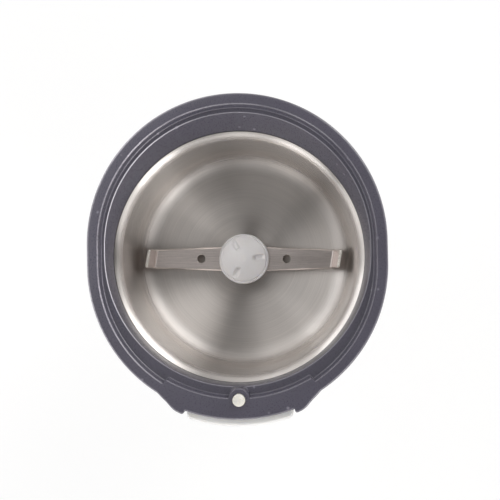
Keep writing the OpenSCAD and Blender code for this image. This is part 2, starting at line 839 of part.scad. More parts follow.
// Brass tube for a brush, closed at its outer end
module brush_holders() color("goldenrod") on_axis() for (turn = [0, 180])
    rotate([0, 0, turn]) difference() {
        box([-brush_half, comm_r + 1.4, brush_z - brush_half], [brush_half, brush_out, brush_z + brush_half]);
        box([-brush_w / 2 - 0.05, 0, brush_z - brush_w / 2 - 0.05],
            [brush_w / 2 + 0.05, brush_out - 1, brush_z + brush_w / 2 + 0.05]);
    }

module carbon_brushes() color([0.2, 0.2, 0.2]) on_axis() for (turn = [0, 180])
    rotate([0, 0, turn]) difference() {
        box([-brush_w / 2, comm_r - 1, brush_z - brush_w / 2], [brush_w / 2, 18, brush_z + brush_w / 2]);
        post(comm_r + 0.1, 0, over);
    }

module brush_springs() color("silver") on_axis() for (turn = [0, 180])
    rotate([0, 0, turn]) translate([0, 18, brush_z]) rotate([-90, 0, 0]) coil(2.2, 0.3, brush_out - 19, 5);

// ---- Button ----

// Face: a slice of a round wall, thinned along its top and bottom edges
module button_face() intersection() {
    on_axis() rotate_extrude() polygon([
        [button_in_r - 1.4, button_z], [button_r - 1.2, button_z], [button_r, button_z + 1.2],
        [button_r, button_top - 1.2], [button_r - 0.5, button_top - 0.3], [button_r - 1.4, button_top],
        [button_in_r, button_top], [button_in_r, button_z + 2], [button_in_r - 1.4, button_z + 2]]);
    rise(0, over) front_strip(button_half, tab_back);
}

module power_button() color("white") {
    button_face();
    // Side ribs that slide in the body, with a nub each that holds the button in
    for (m = [0, 1]) mirror([m, 0, 0]) {
        intersection() {
            box([button_half - rib_t, -over, rib_low], [button_half, rib_back, rib_top]);
            on_axis() post(button_r - 1, 0, over);
        }
        box([button_half - eps, rib_back - 0.9, nub_z], [button_half + 1.2, rib_back, nub_z + 8]);
    }
    // Tail that pushes the switch lever
    box([tail_x, tail_y, tail_z], [tail_x + tail_w, tail_y + tail_t, button_z + 2]);
    box([tail_x, tab_front(tail_x, button_in_r) + 0.2, button_z],
        [tail_x + tail_w, tail_y + tail_t, button_z + 2]);
    // Pad of the spring
    intersection() {
        box([spring_x - pad_half, -over, spring_z - pad_half],
            [spring_x + pad_half, pad_y0, spring_z + pad_half]);
        on_axis() post(button_r - 1, 0, over);
    }
}

module button_spring() color("silver")
    translate([spring_x, pad_y0, spring_z]) rotate([-90, 0, 0])
        coil(spring_r - 0.4, 0.35, block_y - pad_y0, 4);

// ---- Interlock pin ----

module interlock_pin() color("white") translate([0, pin_y, 0]) {
    intersection() {
        post(pin_r, stop_z, pin_top);
        translate([0, 0, pin_top - 2 * pin_r]) sphere(2 * pin_r);
    }
    post(pin_r, stop_z, total_h - 1);
    post(stop_r, stop_z, stop_z + stop_h);
    post(rod_r, rod_z, stop_z + eps);
}

module interlock_spring() color("silver") translate([0, pin_y, seat_z])
    coil(rod_r + 0.65, 0.3, stop_z - seat_z, 7);

// ---- Switches ----

// Hanging plate between the switches, with a flange under the carrier
module switch_bracket() color("lightgray") difference() {
    union() {
        box([bracket_x, bracket_y, power_z - 2], [bracket_x + bracket_t, bracket_y + bracket_l, carrier_z]);
        box([bracket_x - flange_w, flange_y, carrier_z - bracket_t],
            [bracket_x + eps, flange_y + flange_l, carrier_z]);
    }
    at_each(flange_screws) post(clear_r, 0, over);
    switch_holes(over);
}

// Places of the screws through the two switches, as cylinders along X
module switch_holes(h) {
    for (y = hole_places) translate([bracket_x - h / 2, lock_y + y, lock_z + hole_in])
        rotate([0, 90, 0]) cylinder(r = 1.02, h = h);
    for (z = hole_places) translate([bracket_x - h / 2, power_y + switch_h - hole_in, power_z + z])
        rotate([0, 90, 0]) cylinder(r = 1.02, h = h);
}

// Small screw along X with its head's seat at the origin
module small_screw(l) {
    rotate([0, -90, 0]) cylinder(r = 1.9, h = 1.4);
    rotate([0, 90, 0]) cylinder(r = 1, h = l);
}

module switch_screws() color("silver") {
    for (y = hole_places) translate([bracket_x - switch_w, lock_y + y, lock_z + hole_in])
        small_screw(switch_w + bracket_t - 0.1);
    for (z = hole_places)
        translate([bracket_x + bracket_t + switch_w, power_y + switch_h - hole_in, power_z + z])
            rotate([0, 0, 180]) small_screw(switch_w + bracket_t - 0.1);
}

// Switch lying along X, hinge of its lever at the origin, lever side up and the lever along +X
module switch_body() difference() {
    union() {
        translate([-lever_in, -switch_w / 2, -lever_rise - switch_h]) cube([switch_l, switch_w, switch_h]);
        for (x = [1.6, 8.4, 15.2])
            translate([x - lever_in, -1.6, -lever_rise - switch_h - terminal_l])
                cube([0.8, 3.2, terminal_l + eps]);
    }
    translate([plunger_at, 0, 0]) post(plunger_r + 0.05, -lever_rise - 2.6, 1);
}

// Lever with a rolled eye on its hinge
module switch_lever(rest) rotate([0, -rest, 0]) {
    translate([-1, -lever_w / 2, 0]) cube([lever_l + 1, lever_w, lever_t]);
    bar_y(lever_rise - 0.05, -lever_w / 2, lever_w / 2, $fn = 24);
}

module switch_plunger() translate([plunger_at, 0, 0])
    post(plunger_r, -lever_rise - 1.8, plunger_up - lever_rise);

// Places of the two switches: the lever's hinge, turned so that the lever points at its pusher
module at_lock()
    translate([bracket_x - switch_w / 2, lock_y + switch_l - lever_in, lock_z + switch_h + lever_rise])
        rotate([0, 0, -90]) children();
module at_power() translate([bracket_x + bracket_t + switch_w / 2, power_y - lever_rise, power_z + lever_in])
    rotate([0, -90, 90]) children();

module interlock_switch() color("black") difference() {
    at_lock() switch_body();
    switch_holes(over);
}
module interlock_lever() color("silver") at_lock() switch_lever(lock_rest);
module interlock_plunger() color("red") at_lock() switch_plunger();
module power_switch() color("black") difference() {
    at_power() switch_body();
    switch_holes(over);
}
module power_lever() color("silver") at_power() switch_lever(power_rest);
module power_plunger() color("red") at_power() switch_plunger();

// ---- On the bottom cover ----

module terminal_block() color("whitesmoke") translate([block_at.x, block_at.y, cover_top]) difference() {
    cube(block_size);
    for (i = [0 : 2]) translate([4 + 6 * i, block_size.y / 2, 0]) {
        post(1.6, block_size.z - 4, over);
        translate([0, 0, block_size.z - 5.6]) bar_y(1.5, -block_size.y, block_size.y);
    }
}

module suppression_capacitor() color("gold") translate([cap_at.x, cap_at.y, cover_top]) cube(cap_size);

in_frame() housing();
in_frame() collar();
in_frame() bottom_cover();
in_frame() feet();
in_frame() cover_screws();
in_frame() cord_bush();
in_frame() bowl();
in_frame() bowl_gasket();
in_frame() bowl_carrier();
in_frame() carrier_screws();
in_frame() shaft_seal();
in_frame() blade();
in_frame() blade_spacer();
in_frame() hub_nut();
in_frame() hub_cap();
in_frame() motor_shaft();
in_frame() armature_core();
in_frame() armature_winding();
in_frame() commutator();
in_frame() cooling_fan();
in_frame() thrust_washers();
in_frame() stator_core();
in_frame() field_coils();
in_frame() upper_bracket();
in_frame() lower_bracket();
in_frame() upper_bearing();
in_frame() lower_bearing();
in_frame() motor_bolts();
in_frame() motor_nuts();
in_frame() rubber_mounts();
in_frame() mount_screws();
in_frame() brush_holders();
in_frame() carbon_brushes();
in_frame() brush_springs();
in_frame() power_button();
in_frame() button_spring();
in_frame() interlock_pin();
in_frame() interlock_spring();
in_frame() switch_bracket();
in_frame() switch_screws();
in_frame() power_switch();
in_frame() power_lever();
in_frame() power_plunger();
in_frame() interlock_switch();
in_frame() interlock_lever();
in_frame() interlock_plunger();
in_frame() terminal_block();
in_frame() suppression_capacitor();
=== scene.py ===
import math
from functools import reduce
from types import SimpleNamespace

import bmesh
import bpy
import numpy as np
from bpy.props import FloatProperty, FloatVectorProperty, PointerProperty
from mathutils import Matrix, Vector


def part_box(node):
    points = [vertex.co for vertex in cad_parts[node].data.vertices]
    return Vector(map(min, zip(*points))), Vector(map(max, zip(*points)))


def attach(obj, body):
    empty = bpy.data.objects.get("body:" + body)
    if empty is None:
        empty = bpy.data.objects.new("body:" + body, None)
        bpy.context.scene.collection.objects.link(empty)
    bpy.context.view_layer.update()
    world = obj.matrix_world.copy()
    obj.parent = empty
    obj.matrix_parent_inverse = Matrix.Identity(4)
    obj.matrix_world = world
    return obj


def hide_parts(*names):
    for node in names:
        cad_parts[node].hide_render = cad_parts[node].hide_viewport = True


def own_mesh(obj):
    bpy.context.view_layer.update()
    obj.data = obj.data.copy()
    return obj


bl_info = {
    "name": "Spice grinder",
    "version": (1, 0, 0),
    "blender": (4, 5, 0),
    "location": "3D View > Sidebar > Grinder",
    "description": "Builds the surfaces, finishes and studio of an electric spice grinder with its lid off",
    "category": "Add Mesh",
}

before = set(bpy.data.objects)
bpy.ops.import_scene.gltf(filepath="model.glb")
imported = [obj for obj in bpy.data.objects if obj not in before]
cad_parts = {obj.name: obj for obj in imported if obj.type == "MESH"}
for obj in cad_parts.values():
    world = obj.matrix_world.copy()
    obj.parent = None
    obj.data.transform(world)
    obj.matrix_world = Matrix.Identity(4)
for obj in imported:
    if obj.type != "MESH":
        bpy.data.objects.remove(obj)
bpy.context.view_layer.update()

# Shapes are worked out in millimetres, and MM makes them metres
MM = 0.001
BODY_Y = 1.6  # middle of the oval body
AXIS = np.array([0.0, 1000 * (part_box("blade")[0].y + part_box("blade")[1].y) / 2])  # the bowl's, in plan
TOP = 1000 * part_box("collar")[1].z
LEDGE_Z = TOP - 3.0
SKIRT_LOW = 1000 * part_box("collar")[0].z
FLOOR_Z = 1000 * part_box("shaft_seal")[1].z - 1.5  # the seal stands 1.5 over the bowl's floor
BLADE_Z = 1000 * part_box("blade")[0].z
PIN_TOP = 1000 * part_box("interlock_pin")[1].z
SPRING_BACK = -41.838  # fixed end of the button's spring along Y
# In metres: points this near are welded, and an edge this short is dropped
WELD, SLIVER = 2e-6, 1e-7


# ---- Properties ----

def length(name, description, default):
    """A length in metres for the sidebar."""
    return FloatProperty(name=name, description=description, default=default, min=0.0, max=0.5,
                         precision=5, unit="LENGTH", subtype="DISTANCE")


def angle(name, description, degrees):
    """An angle for the sidebar."""
    return FloatProperty(name=name, description=description, default=math.radians(degrees),
                         unit="ROTATION", subtype="ANGLE")


def place(name, description, default):
    """A point in metres for the sidebar."""
    return FloatVectorProperty(name=name, description=description, size=3, default=default,
                               unit="LENGTH", subtype="TRANSLATION")


def power(name, description, default):
    """A lamp's power for the sidebar."""
    return FloatProperty(name=name, description=description, default=default, unit="POWER")


def linear(*levels):
    """Screen levels from 0 to 255 as linear colour."""
    c = np.array(levels, float) / 255
    return tuple(np.where(c <= 0.04045, c / 12.92, ((c + 0.055) / 1.055) ** 2.4))


def colour(name, description, *levels):
    """A surface colour for the sidebar, given in screen levels."""
    return FloatVectorProperty(name=name, description=description, default=linear(*levels),
                               size=3, min=0.0, max=1.0, subtype="COLOR")


class RimSizes(bpy.types.PropertyGroup):
    """Sizes of the dark rim."""
    width: length("Width", "Width of the rim across its round ends", 0.096)
    run: length("Straight run", "Straight run between the two round ends", 0.0068)
    land: length("Land", "Width of the flat land outside the lid ledge", 0.0033)
    ledge_depth: length("Ledge depth", "Depth of the lid ledge below the land", 0.003)
    draft: length("Step draft", "Inward slope of the step from land to ledge", 0.0009)
    ledge: length("Ledge", "Width of the lid ledge", 0.002)
    plate: length("Ledge plate", "Thickness of the plate under the ledge", 0.0024)
    mouth_run: length("Mouth run", "How much longer than wide the mouth is", 0.0026)
    tab: length("Tab radius", "Radius of the front tab about the bowl's axis", 0.052)
    tab_width: length("Tab width", "Width of the tab where the ledge jogs inwards", 0.0464)
    notch: length("Notch", "Width of the notch for the button", 0.035)


class BowlSizes(bpy.types.PropertyGroup):
    """Sizes of the spun steel bowl."""
    lip: length("Lip radius", "Radius of the bowl at the top of its rolled lip", 0.0414)
    roll: length("Lip roll", "Radius of the rolled lip", 0.0038)
    inset: length("Wall inset", "How far the wall stands inside the lip", 0.0023)
    fillet: length("Floor fillet", "Radius between floor and wall", 0.0075)
    steel: length("Steel", "Thickness of the steel", 0.0008)
    hole: length("Floor hole", "Radius of the hole for the shaft seal", 0.00702)


class BladeSizes(bpy.types.PropertyGroup):
    """Sizes of the blade and of the hub cap."""
    bend: length("Bend", "Distance of the bends from the axis", 0.0323)
    root: length("Root width", "Width of the blade at the hub", 0.0093)
    tip: length("Tip width", "Width of the blade at its tips", 0.0067)
    thick: length("Thickness", "Thickness of the blade", 0.0015)
    tip_run: length("Tip run", "How far the turned-up tips still run outwards", 0.0018)
    tip_rise: length("Tip rise", "Height of the turned-up tips", 0.006)
    bend_radius: length("Bend radius", "Radius of the bends along the middle of the strip", 0.0014)
    skew: angle("Skew", "Angle of the bends to a square bend", 9)
    turn: angle("Turn", "Angle at which the blade stands", -1.25)
    hole: length("Hole", "Radius of the two holes", 0.0015)
    hole_at: length("Hole place", "Distance of the holes from the axis", 0.0155)
    hub: length("Hub radius", "Radius of the hub cap", 0.009)
    hub_rise: length("Hub height", "Height of the hub cap over the blade", 0.004)


class ButtonSizes(bpy.types.PropertyGroup):
    """Sizes of the press button and of the interlock pin."""
    outer: length("Outer radius", "Radius of the button's face about the bowl's axis", 0.0547)
    inner: length("Inner radius", "Radius of the back of the button's face", 0.0519)
    half: length("Half width", "Half the width of the button", 0.0171)
    pin: length("Pin radius", "Radius of the interlock pin", 0.002)
    pin_at: length("Pin place", "Distance of the pin from the bowl's axis", 0.0458)


class Colours(bpy.types.PropertyGroup):
    """Colours of the finishes that show."""
    slate: colour("Slate", "Dark plastic of the rim", 84, 82, 94)
    white: colour("White", "White plastic of the body and button", 246, 246, 245)
    cap: colour("Cap", "White plastic of the hub cap", 248, 245, 245)
    pin: colour("Pin", "Off-white plastic of the pin", 230, 228, 220)
    steel: colour("Steel", "Spun steel of the bowl", 245, 240, 236)
    blade: colour("Blade", "Stamped steel of the blade", 226, 217, 213)


class StageSettings(bpy.types.PropertyGroup):
    """Camera and lamps."""
    eye: place("Camera", "Place of the camera", (0.0203, -0.0096, 0.438))
    aim: place("Aim", "Point that the camera looks at", (0.00446, 0.00258, 0.138))
    roll: angle("Roll", "Turn of the camera about its view", 1.15)
    lens: FloatProperty(name="Lens", description="Focal length on a 36 mm sensor", default=68.25,
                        unit="CAMERA")
    key: power("Key lamp", "Power of the large lamp", 1.4)
    cap: power("Cap lamp", "Power of the narrow lamp on the hub cap", 58.0)
    sky: FloatProperty(name="Room light", description="Strength of the room's light", default=0.78)


class GrinderSettings(bpy.types.PropertyGroup):
    """All settings of the grinder."""
    rim: PointerProperty(type=RimSizes)
    bowl: PointerProperty(type=BowlSizes)
    blade: PointerProperty(type=BladeSizes)
    button: PointerProperty(type=ButtonSizes)
    colours: PointerProperty(type=Colours)
    stage: PointerProperty(type=StageSettings)


def hue(name):
    """A colour of the settings."""
    return getattr(bpy.context.scene.grinder.colours, name)


def sizes(part):
    """A part's lengths in millimetres, by name."""
    group = getattr(bpy.context.scene.grinder, part)
    return SimpleNamespace(**{key: 1000 * getattr(group, key) for key in group.__annotations__
                              if group.bl_rna.properties[key].unit == "LENGTH"})


# ---- Surfaces ----

def grid_quads(rows, columns, wrap_rows, wrap_columns):
    """Quads between neighbours of a grid; a wrapped side joins its end to its start."""
    i = np.arange(rows if wrap_rows else rows - 1)[:, None]
    j = np.arange(columns if wrap_columns else columns - 1)[None, :]
    down, right = (i + 1) % rows, (j + 1) % columns
    quads = [i * columns + j, down * columns + j, down * columns + right, i * columns + right]
    return np.stack(np.broadcast_arrays(*quads), axis=-1).reshape(-1, 4)


def make_mesh(name, parts):
    """Joins grids of points in millimetres, welds their seams and poles, and turns faces outwards."""
    points, quads, start = [], [], 0
    for grid, wrap_rows, wrap_columns in parts:
        points.append(grid.reshape(-1, 3))
        quads.append(start + grid_quads(*grid.shape[:2], wrap_rows, wrap_columns))
        start += len(points[-1])
    points, quads = np.concatenate(points), np.concatenate(quads)
    mesh = bpy.data.meshes.new(name)
    mesh.vertices.add(len(points))
    mesh.vertices.foreach_set("co", (points * MM).astype(np.float32).ravel())
    mesh.loops.add(quads.size)
    mesh.loops.foreach_set("vertex_index", quads.astype(np.int32).ravel())
    mesh.polygons.add(len(quads))
    mesh.polygons.foreach_set("loop_start", np.arange(0, quads.size, 4, dtype=np.int32))
    mesh.update(calc_edges=True)
    mesh.validate()
    work = bmesh.new()
    work.from_mesh(mesh)
    bmesh.ops.remove_doubles(work, verts=work.verts, dist=WELD)
    bmesh.ops.dissolve_degenerate(work, edges=work.edges, dist=SLIVER)
    bmesh.ops.recalc_face_normals(work, faces=work.faces)
    work.to_mesh(mesh)
    work.free()
    return mesh


def new_object(name, data):
    """A new object in the scene."""
    obj = bpy.data.objects.new(name, data)
    bpy.context.scene.collection.objects.link(obj)
    return obj


def bore(obj, centre, radius, low, high):
    """Cuts a round hole upright through a piece."""
    turn = np.linspace(0, 2 * np.pi, 48, endpoint=False)
    ring = np.stack([radius * np.cos(turn), radius * np.sin(turn)], -1)
    rows = [np.column_stack([ring * f, np.full(len(turn), z)])
            for f, z in ((0, low), (1, low), (1, high), (0, high))]
    cutter = new_object("cutter", make_mesh("cutter", [(np.stack(rows), False, True)]))
    cutter.data.transform(Matrix.Translation(Vector(centre) * MM))
    cut = obj.modifiers.new("bore", "BOOLEAN")
    cut.operation, cut.object, cut.solver = "DIFFERENCE", cutter, "EXACT"
    made = bpy.data.meshes.new_from_object(obj.evaluated_get(bpy.context.evaluated_depsgraph_get()))
    obj.modifiers.clear()
    old, obj.data = obj.data, made
    made.name = obj.name
    bpy.data.meshes.remove(old)
    bpy.data.objects.remove(cutter)


def add_piece(name, parts, body, material, node, bores=(), sharp=32):
    """Makes a finished piece of grids, hangs it on its body and puts it in the place of a node.

    Only the first grid is bored, so that the others may reach into it.
    """
    obj = new_object(name, make_mesh(name, parts[:1] if bores else parts))
    for hole in bores:
        bore(obj, *hole)
    if bores and parts[1:]:
        work, rest = bmesh.new(), make_mesh("rest", parts[1:])
        work.from_mesh(obj.data)
        work.from_mesh(rest)
        work.to_mesh(obj.data)
        work.free()
        bpy.data.meshes.remove(rest)
    obj.data.shade_smooth()
    obj.data.set_sharp_from_angle(angle=math.radians(sharp))
    obj.data.materials.clear()
    obj.data.materials.append(material)
    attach(obj, body)
    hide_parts(node)
    return obj


def rounded(corners, radii, steps=7):
    """Rounds a closed outline: each corner becomes a circular arc of its radius, drawn as a rational curve.

    The corners have shape (..., n, 2) and the result (..., n * steps, 2). The arc leaves its corner by
    radius / tan(half the corner's angle) and its middle weight is the sine of that half angle.
    """
    before, after = np.roll(corners, 1, -2) - corners, np.roll(corners, -1, -2) - corners
    long_a = np.linalg.norm(before, axis=-1, keepdims=True)
    long_b = np.linalg.norm(after, axis=-1, keepdims=True)
    a, b = before / np.maximum(long_a, 1e-9), after / np.maximum(long_b, 1e-9)
    half = np.arccos(np.clip((a * b).sum(-1), -1, 1)) / 2
    radii = np.broadcast_to(radii, half.shape)
    back = np.minimum(radii / np.tan(np.maximum(half, 1e-3)), 0.48 * np.minimum(long_a, long_b)[..., 0])
    start, end = corners + a * back[..., None], corners + b * back[..., None]
    s = np.linspace(0, 1, steps)[:, None]
    weight = np.sin(half)[..., None, None]
    parts = [(1 - s) ** 2, 2 * weight * s * (1 - s), s ** 2]
    arc = sum(part * point[..., None, :] for part, point in zip(parts, (start, corners, end)))
    arc = arc / sum(parts)
    return arc.reshape(*corners.shape[:-2], -1, 2)


def carried(corners, path):
    """Corners of a profile at each place of a path; a plain number stays the same all along it."""
    return np.stack([np.stack([value * np.ones_like(path) for value in corner], -1)
                     for corner in corners], axis=1)


def turned(profile, turns, y=AXIS[1]):
    """Carries a profile of radius and height round a vertical axis."""
    turn = np.linspace(0, 2 * np.pi, turns, endpoint=False)[:, None]
    return np.stack([AXIS[0] + profile[:, 0] * np.cos(turn), y + profile[:, 0] * np.sin(turn),
                     np.broadcast_to(profile[:, 1], (turns, len(profile)))], axis=-1)


def ends_closed(grid):
    """Adds the middle of a grid's first row before it, and that of its last row after it."""
    first, last = (row.mean(1, keepdims=True).repeat(grid.shape[1], 1) for row in (grid[:1], grid[-1:]))
    return np.concatenate([first, grid, last])


def oval_reach(turn, radius, run, middle_y):
    """Distance from the bowl's axis to an oval, in each direction.

    Turn 0 looks to the front. The oval is two half circles whose centres lie run apart along Y.
    """
    d = np.stack([np.sin(turn), -np.cos(turn)], -1)
    reach = np.zeros(turn.shape)
    for side in (-1, 1):
        centre = np.array([0.0, middle_y + side * run / 2]) - AXIS
        along = d @ centre
        inside = along ** 2 - centre @ centre + radius ** 2
        reach = np.maximum(reach, along + np.sqrt(np.maximum(inside, 0)))
    flat = radius / np.maximum(np.abs(d[:, 0]), 1e-6)
    level = AXIS[1] + flat * d[:, 1]
    return np.where(np.abs(level - middle_y) <= run / 2, flat, reach)


def line_reach(turn, points):
    """Distance from the bowl's axis to a line of points, as a function of the direction."""
    rel = points - AXIS
    way, reach = np.arctan2(rel[:, 0], -rel[:, 1]), np.hypot(rel[:, 0], rel[:, 1])
    order = np.argsort(way)
    return np.interp(np.abs(turn), way[order], reach[order], left=0, right=0)


def smooth_step(x, low, high):
    """0 below low, 1 above high, and an even S between them."""
    t = np.clip((x - low) / (high - low), 0, 1)
    return t * t * (3 - 2 * t)


def body_turns(notch):
    """Directions round the body, close together at the pin and the tab, and doubled at the notch's sides."""
    boss_side, tab_side = 4.8, 33  # degrees from the front
    half = np.concatenate([np.arange(0, boss_side, 0.12), np.linspace(boss_side, notch, 30), [notch + 1e-4],
                           np.arange(notch + 0.12, tab_side, 0.17), np.arange(tab_side, 180, 0.6), [180]])
    return np.radians(np.concatenate([-half[:0:-1], half[:-1]]))


# ---- Node trees ----

def feed(tree, node, inputs):
    """Links a node's inputs that are given as sockets, and sets the others."""
    for key, value in inputs.items():
        socket = node.inputs[key]
        if isinstance(value, bpy.types.NodeSocket):
            tree.links.new(value, socket)
        elif socket.type == "RGBA":
            socket.default_value = (*value[:3], 1.0)
        else:
            socket.default_value = value
    return node


def titled(values):
    """Values by the names of their sockets, where an underscore stands for a space."""
    return {key.replace("_", " "): value for key, value in values.items()}


def put(tree, node, **values):
    """Feeds a node by the names of its sockets."""
    return feed(tree, node, titled(values))


def add(tree, kind, inputs=None, **settings):
    """Adds a node with its settings and inputs."""
    node = tree.nodes.new(kind)
    for key, value in settings.items():
        setattr(node, key, value)
    return feed(tree, node, inputs or {})


def calc(tree, operation, *values):
    """A number worked out from numbers."""
    return add(tree, "ShaderNodeMath", dict(enumerate(values)), operation=operation).outputs[0]


def times(tree, *values):
    """The product of numbers."""
    return reduce(lambda a, b: calc(tree, "MULTIPLY", a, b), values)


def plus(tree, *values):
    """The sum of numbers."""
    return reduce(lambda a, b: calc(tree, "ADD", a, b), values)


def vector(tree, operation, *values):
    """A vector worked out from vectors."""
    return add(tree, "ShaderNodeVectorMath", dict(enumerate(values)), operation=operation).outputs[0]


def dot(tree, a, b):
    """How far two vectors go the same way."""
    return add(tree, "ShaderNodeVectorMath", {0: a, 1: b}, operation="DOT_PRODUCT").outputs["Value"]


def split(tree, value):
    """The three numbers of a vector."""
    return add(tree, "ShaderNodeSeparateXYZ", {0: value}).outputs


def normal(tree):
    """The surface's own normal."""
    return add(tree, "ShaderNodeNewGeometry").outputs["Normal"]


def spread(tree, value, low, high, to_low=0.0, to_high=1.0):
    """Carries a value's range over to another range, and clips it there."""
    return add(tree, "ShaderNodeMapRange", {"Value": value, "From Min": low, "From Max": high,
                                            "To Min": to_low, "To Max": to_high}).outputs[0]


def rising(tree, height, base, low, high, *to):
    """Spreads a height in metres, where low and high are millimetres over a base."""
    return spread(tree, height, MM * (base + low), MM * (base + high), *to)


def mixed(tree, factor, a, b):
    """Mixes two colours by a factor."""
    return add(tree, "ShaderNodeMix", {0: factor, 6: a, 7: b}, data_type="RGBA").outputs[2]


def noise(tree, where, scale, detail=3.0, rough=0.5):
    """Soft noise from 0 to 1."""
    return add(tree, "ShaderNodeTexNoise", {"Vector": where, "Scale": scale, "Detail": detail,
                                            "Roughness": rough}).outputs[0]


def cells(tree, where, scale):
    """Distance to the nearest of scattered points."""
    return add(tree, "ShaderNodeTexVoronoi", {"Vector": where, "Scale": scale}, feature="F1").outputs[0]


def shared(name, lay_out, **inputs):
    """A shader node group, built once. It has the input Where and numbers or vectors with these defaults.

    Its outputs are those that lay_out returns.
    """
    tree = bpy.data.node_groups.get(name)
    if tree:
        return tree
    tree = bpy.data.node_groups.new(name, "ShaderNodeTree")
    tree.interface.new_socket("Where", in_out="INPUT", socket_type="NodeSocketVector")
    for title, default in titled(inputs).items():
        kind = "NodeSocketVector" if isinstance(default, tuple) else "NodeSocketFloat"
        tree.interface.new_socket(title, in_out="INPUT", socket_type=kind).default_value = default
    made = lay_out(tree, tree.nodes.new("NodeGroupInput").outputs)
    for title, socket in made.items():
        kind = "NodeSocketVector" if socket.type == "VECTOR" else "NodeSocketFloat"
        tree.interface.new_socket(title, in_out="OUTPUT", socket_type=kind)
    feed(tree, tree.nodes.new("NodeGroupOutput"), made)
    return tree


def use(tree, group, **inputs):
    """Places a node group and returns its outputs."""
    return put(tree, add(tree, "ShaderNodeGroup", node_tree=group), **inputs).outputs


def grain_group():
    """Fine and broad unevenness of a moulded or cast skin."""
    def lay_out(tree, given):
        fine = noise(tree, given["Where"], given["Fine scale"], 4.0, 0.6)
        broad = noise(tree, given["Where"], given["Broad scale"])
        specks = cells(tree, given["Where"], given["Fine scale"])
        return {"Fine": plus(tree, times(tree, fine, 0.6), times(tree, specks, 0.4)),
                "Broad": spread(tree, broad, 0.3, 0.7)}
    return shared("Grain", lay_out, Fine_scale=2500.0, Broad_scale=60.0)


def wear_group():
    """Worn edges: where the surface turns sharply, broken up by noise. Also the rounded normal."""
    def lay_out(tree, given):
        soft = add(tree, "ShaderNodeBevel", {"Radius": given["Width"]}, samples=6).outputs[0]
        edge = spread(tree, dot(tree, soft, normal(tree)), 0.985, 0.80)
        patch = spread(tree, noise(tree, given["Where"], given["Patch scale"], 5.0, 0.65), 0.42, 0.66)
        return {"Mask": times(tree, edge, patch, given["Amount"]), "Edge": edge, "Normal": soft}
    return shared("Edge wear", lay_out, Width=0.0003, Patch_scale=220.0, Amount=0.5)


def turning_group():
    """Rounded edges above a height: where the surface leans between level and upright, broken up by noise."""
    def lay_out(tree, given):
        lean = split(tree, normal(tree))[2]
        band = times(tree, spread(tree, lean, given["Upright"], 0.6), spread(tree, lean, 0.985, 0.9))
        beads = spread(tree, noise(tree, given["Where"], given["Bead scale"], 2.0), 0.35, 0.6, 0.5, 1.0)
        patch = spread(tree, noise(tree, given["Where"], given["Patch scale"]), 0.36, 0.6, 0.4, 1.0)
        height = split(tree, given["Where"])[2]
        band = times(tree, band, calc(tree, "GREATER_THAN", height, given["Lowest"]))
        return {"Edge": band, "Mask": times(tree, band, beads, patch)}
    return shared("Turning edges", lay_out, Lowest=0.0, Upright=0.3, Bead_scale=1400.0, Patch_scale=40.0)


def rings_group():
    """Fine rings about a vertical axis, as a lathe or a spinning wheel leaves them.

    The noise is read along radius plus height, and on a small circle so that no seam shows.
    """
    def lay_out(tree, given):
        parts = split(tree, vector(tree, "SUBTRACT", given["Where"], given["Centre"]))
        radius = calc(tree, "SQRT", plus(tree, *(times(tree, parts[k], parts[k]) for k in (0, 1))))
        turn = calc(tree, "ARCTAN2", parts[1], parts[0])
        along = add(tree, "ShaderNodeCombineXYZ", {
            0: plus(tree, radius, parts[2]), 1: times(tree, calc(tree, "COSINE", turn), 0.0002),
            2: times(tree, calc(tree, "SINE", turn), 0.0002)}).outputs[0]
        return {"Fine": noise(tree, along, given["Fine scale"], 3.0, 0.7),
                "Coarse": noise(tree, along, given["Coarse scale"], 2.0)}
    return shared("Turning rings", lay_out, Centre=(0.0, 0.0011, 0.0), Fine_scale=4200.0, Coarse_scale=700.0)


def streaks_group():
    """Long fine scratches along one axis."""
    def lay_out(tree, given):
        drawn = vector(tree, "MULTIPLY", given["Where"], given["Stretch"])
        return {"Fine": noise(tree, drawn, 1.0, 4.0, 0.7)}
    return shared("Streaks", lay_out, Stretch=(60.0, 4000.0, 4000.0))


def layers_group():
    """Even layers along one axis, for stacked sheets and wound wire."""
    def lay_out(tree, given):
        layer = plus(tree, *split(tree, vector(tree, "MULTIPLY", given["Where"], given["Per metre"])))
        wave = calc(tree, "ABSOLUTE", calc(tree, "SINE", times(tree, layer, math.pi)))
        tint = add(tree, "ShaderNodeTexWhiteNoise", {"W": calc(tree, "FLOOR", layer)},
                   noise_dimensions="1D").outputs["Value"]
        return {"Wave": calc(tree, "POWER", wave, given["Sharpness"]), "Tint": tint}
    return shared("Layers", lay_out, Per_metre=(0.0, 0.0, 2000.0), Sharpness=0.5)


def empty_tree(owner):
    """The node tree of a material or world, with nothing in it."""
    owner.use_nodes = True
    owner.node_tree.nodes.clear()
    return owner.node_tree


def start_material(name):
    """An empty material with its shader, and the coordinates of its object."""
    made = bpy.data.materials.new(name)
    tree = empty_tree(made)
    shader = add(tree, "ShaderNodeBsdfPrincipled")
    add(tree, "ShaderNodeOutputMaterial", {0: shader.outputs[0]})
    return made, tree, shader, add(tree, "ShaderNodeTexCoord").outputs["Object"]


def scaled(rgb, factor):
    """A colour made darker or lighter."""
    return tuple(min(1.0, c * factor) for c in rgb[:3])


def bumped(tree, height, around, distance, strength=1.0):
    """A normal tilted by a height in metres, from the surface's own where none is given."""
    given = {} if around is None else {"Normal": around}
    return add(tree, "ShaderNodeBump", {"Height": height, "Distance": distance, "Strength": strength,
                                        **given}).outputs[0]


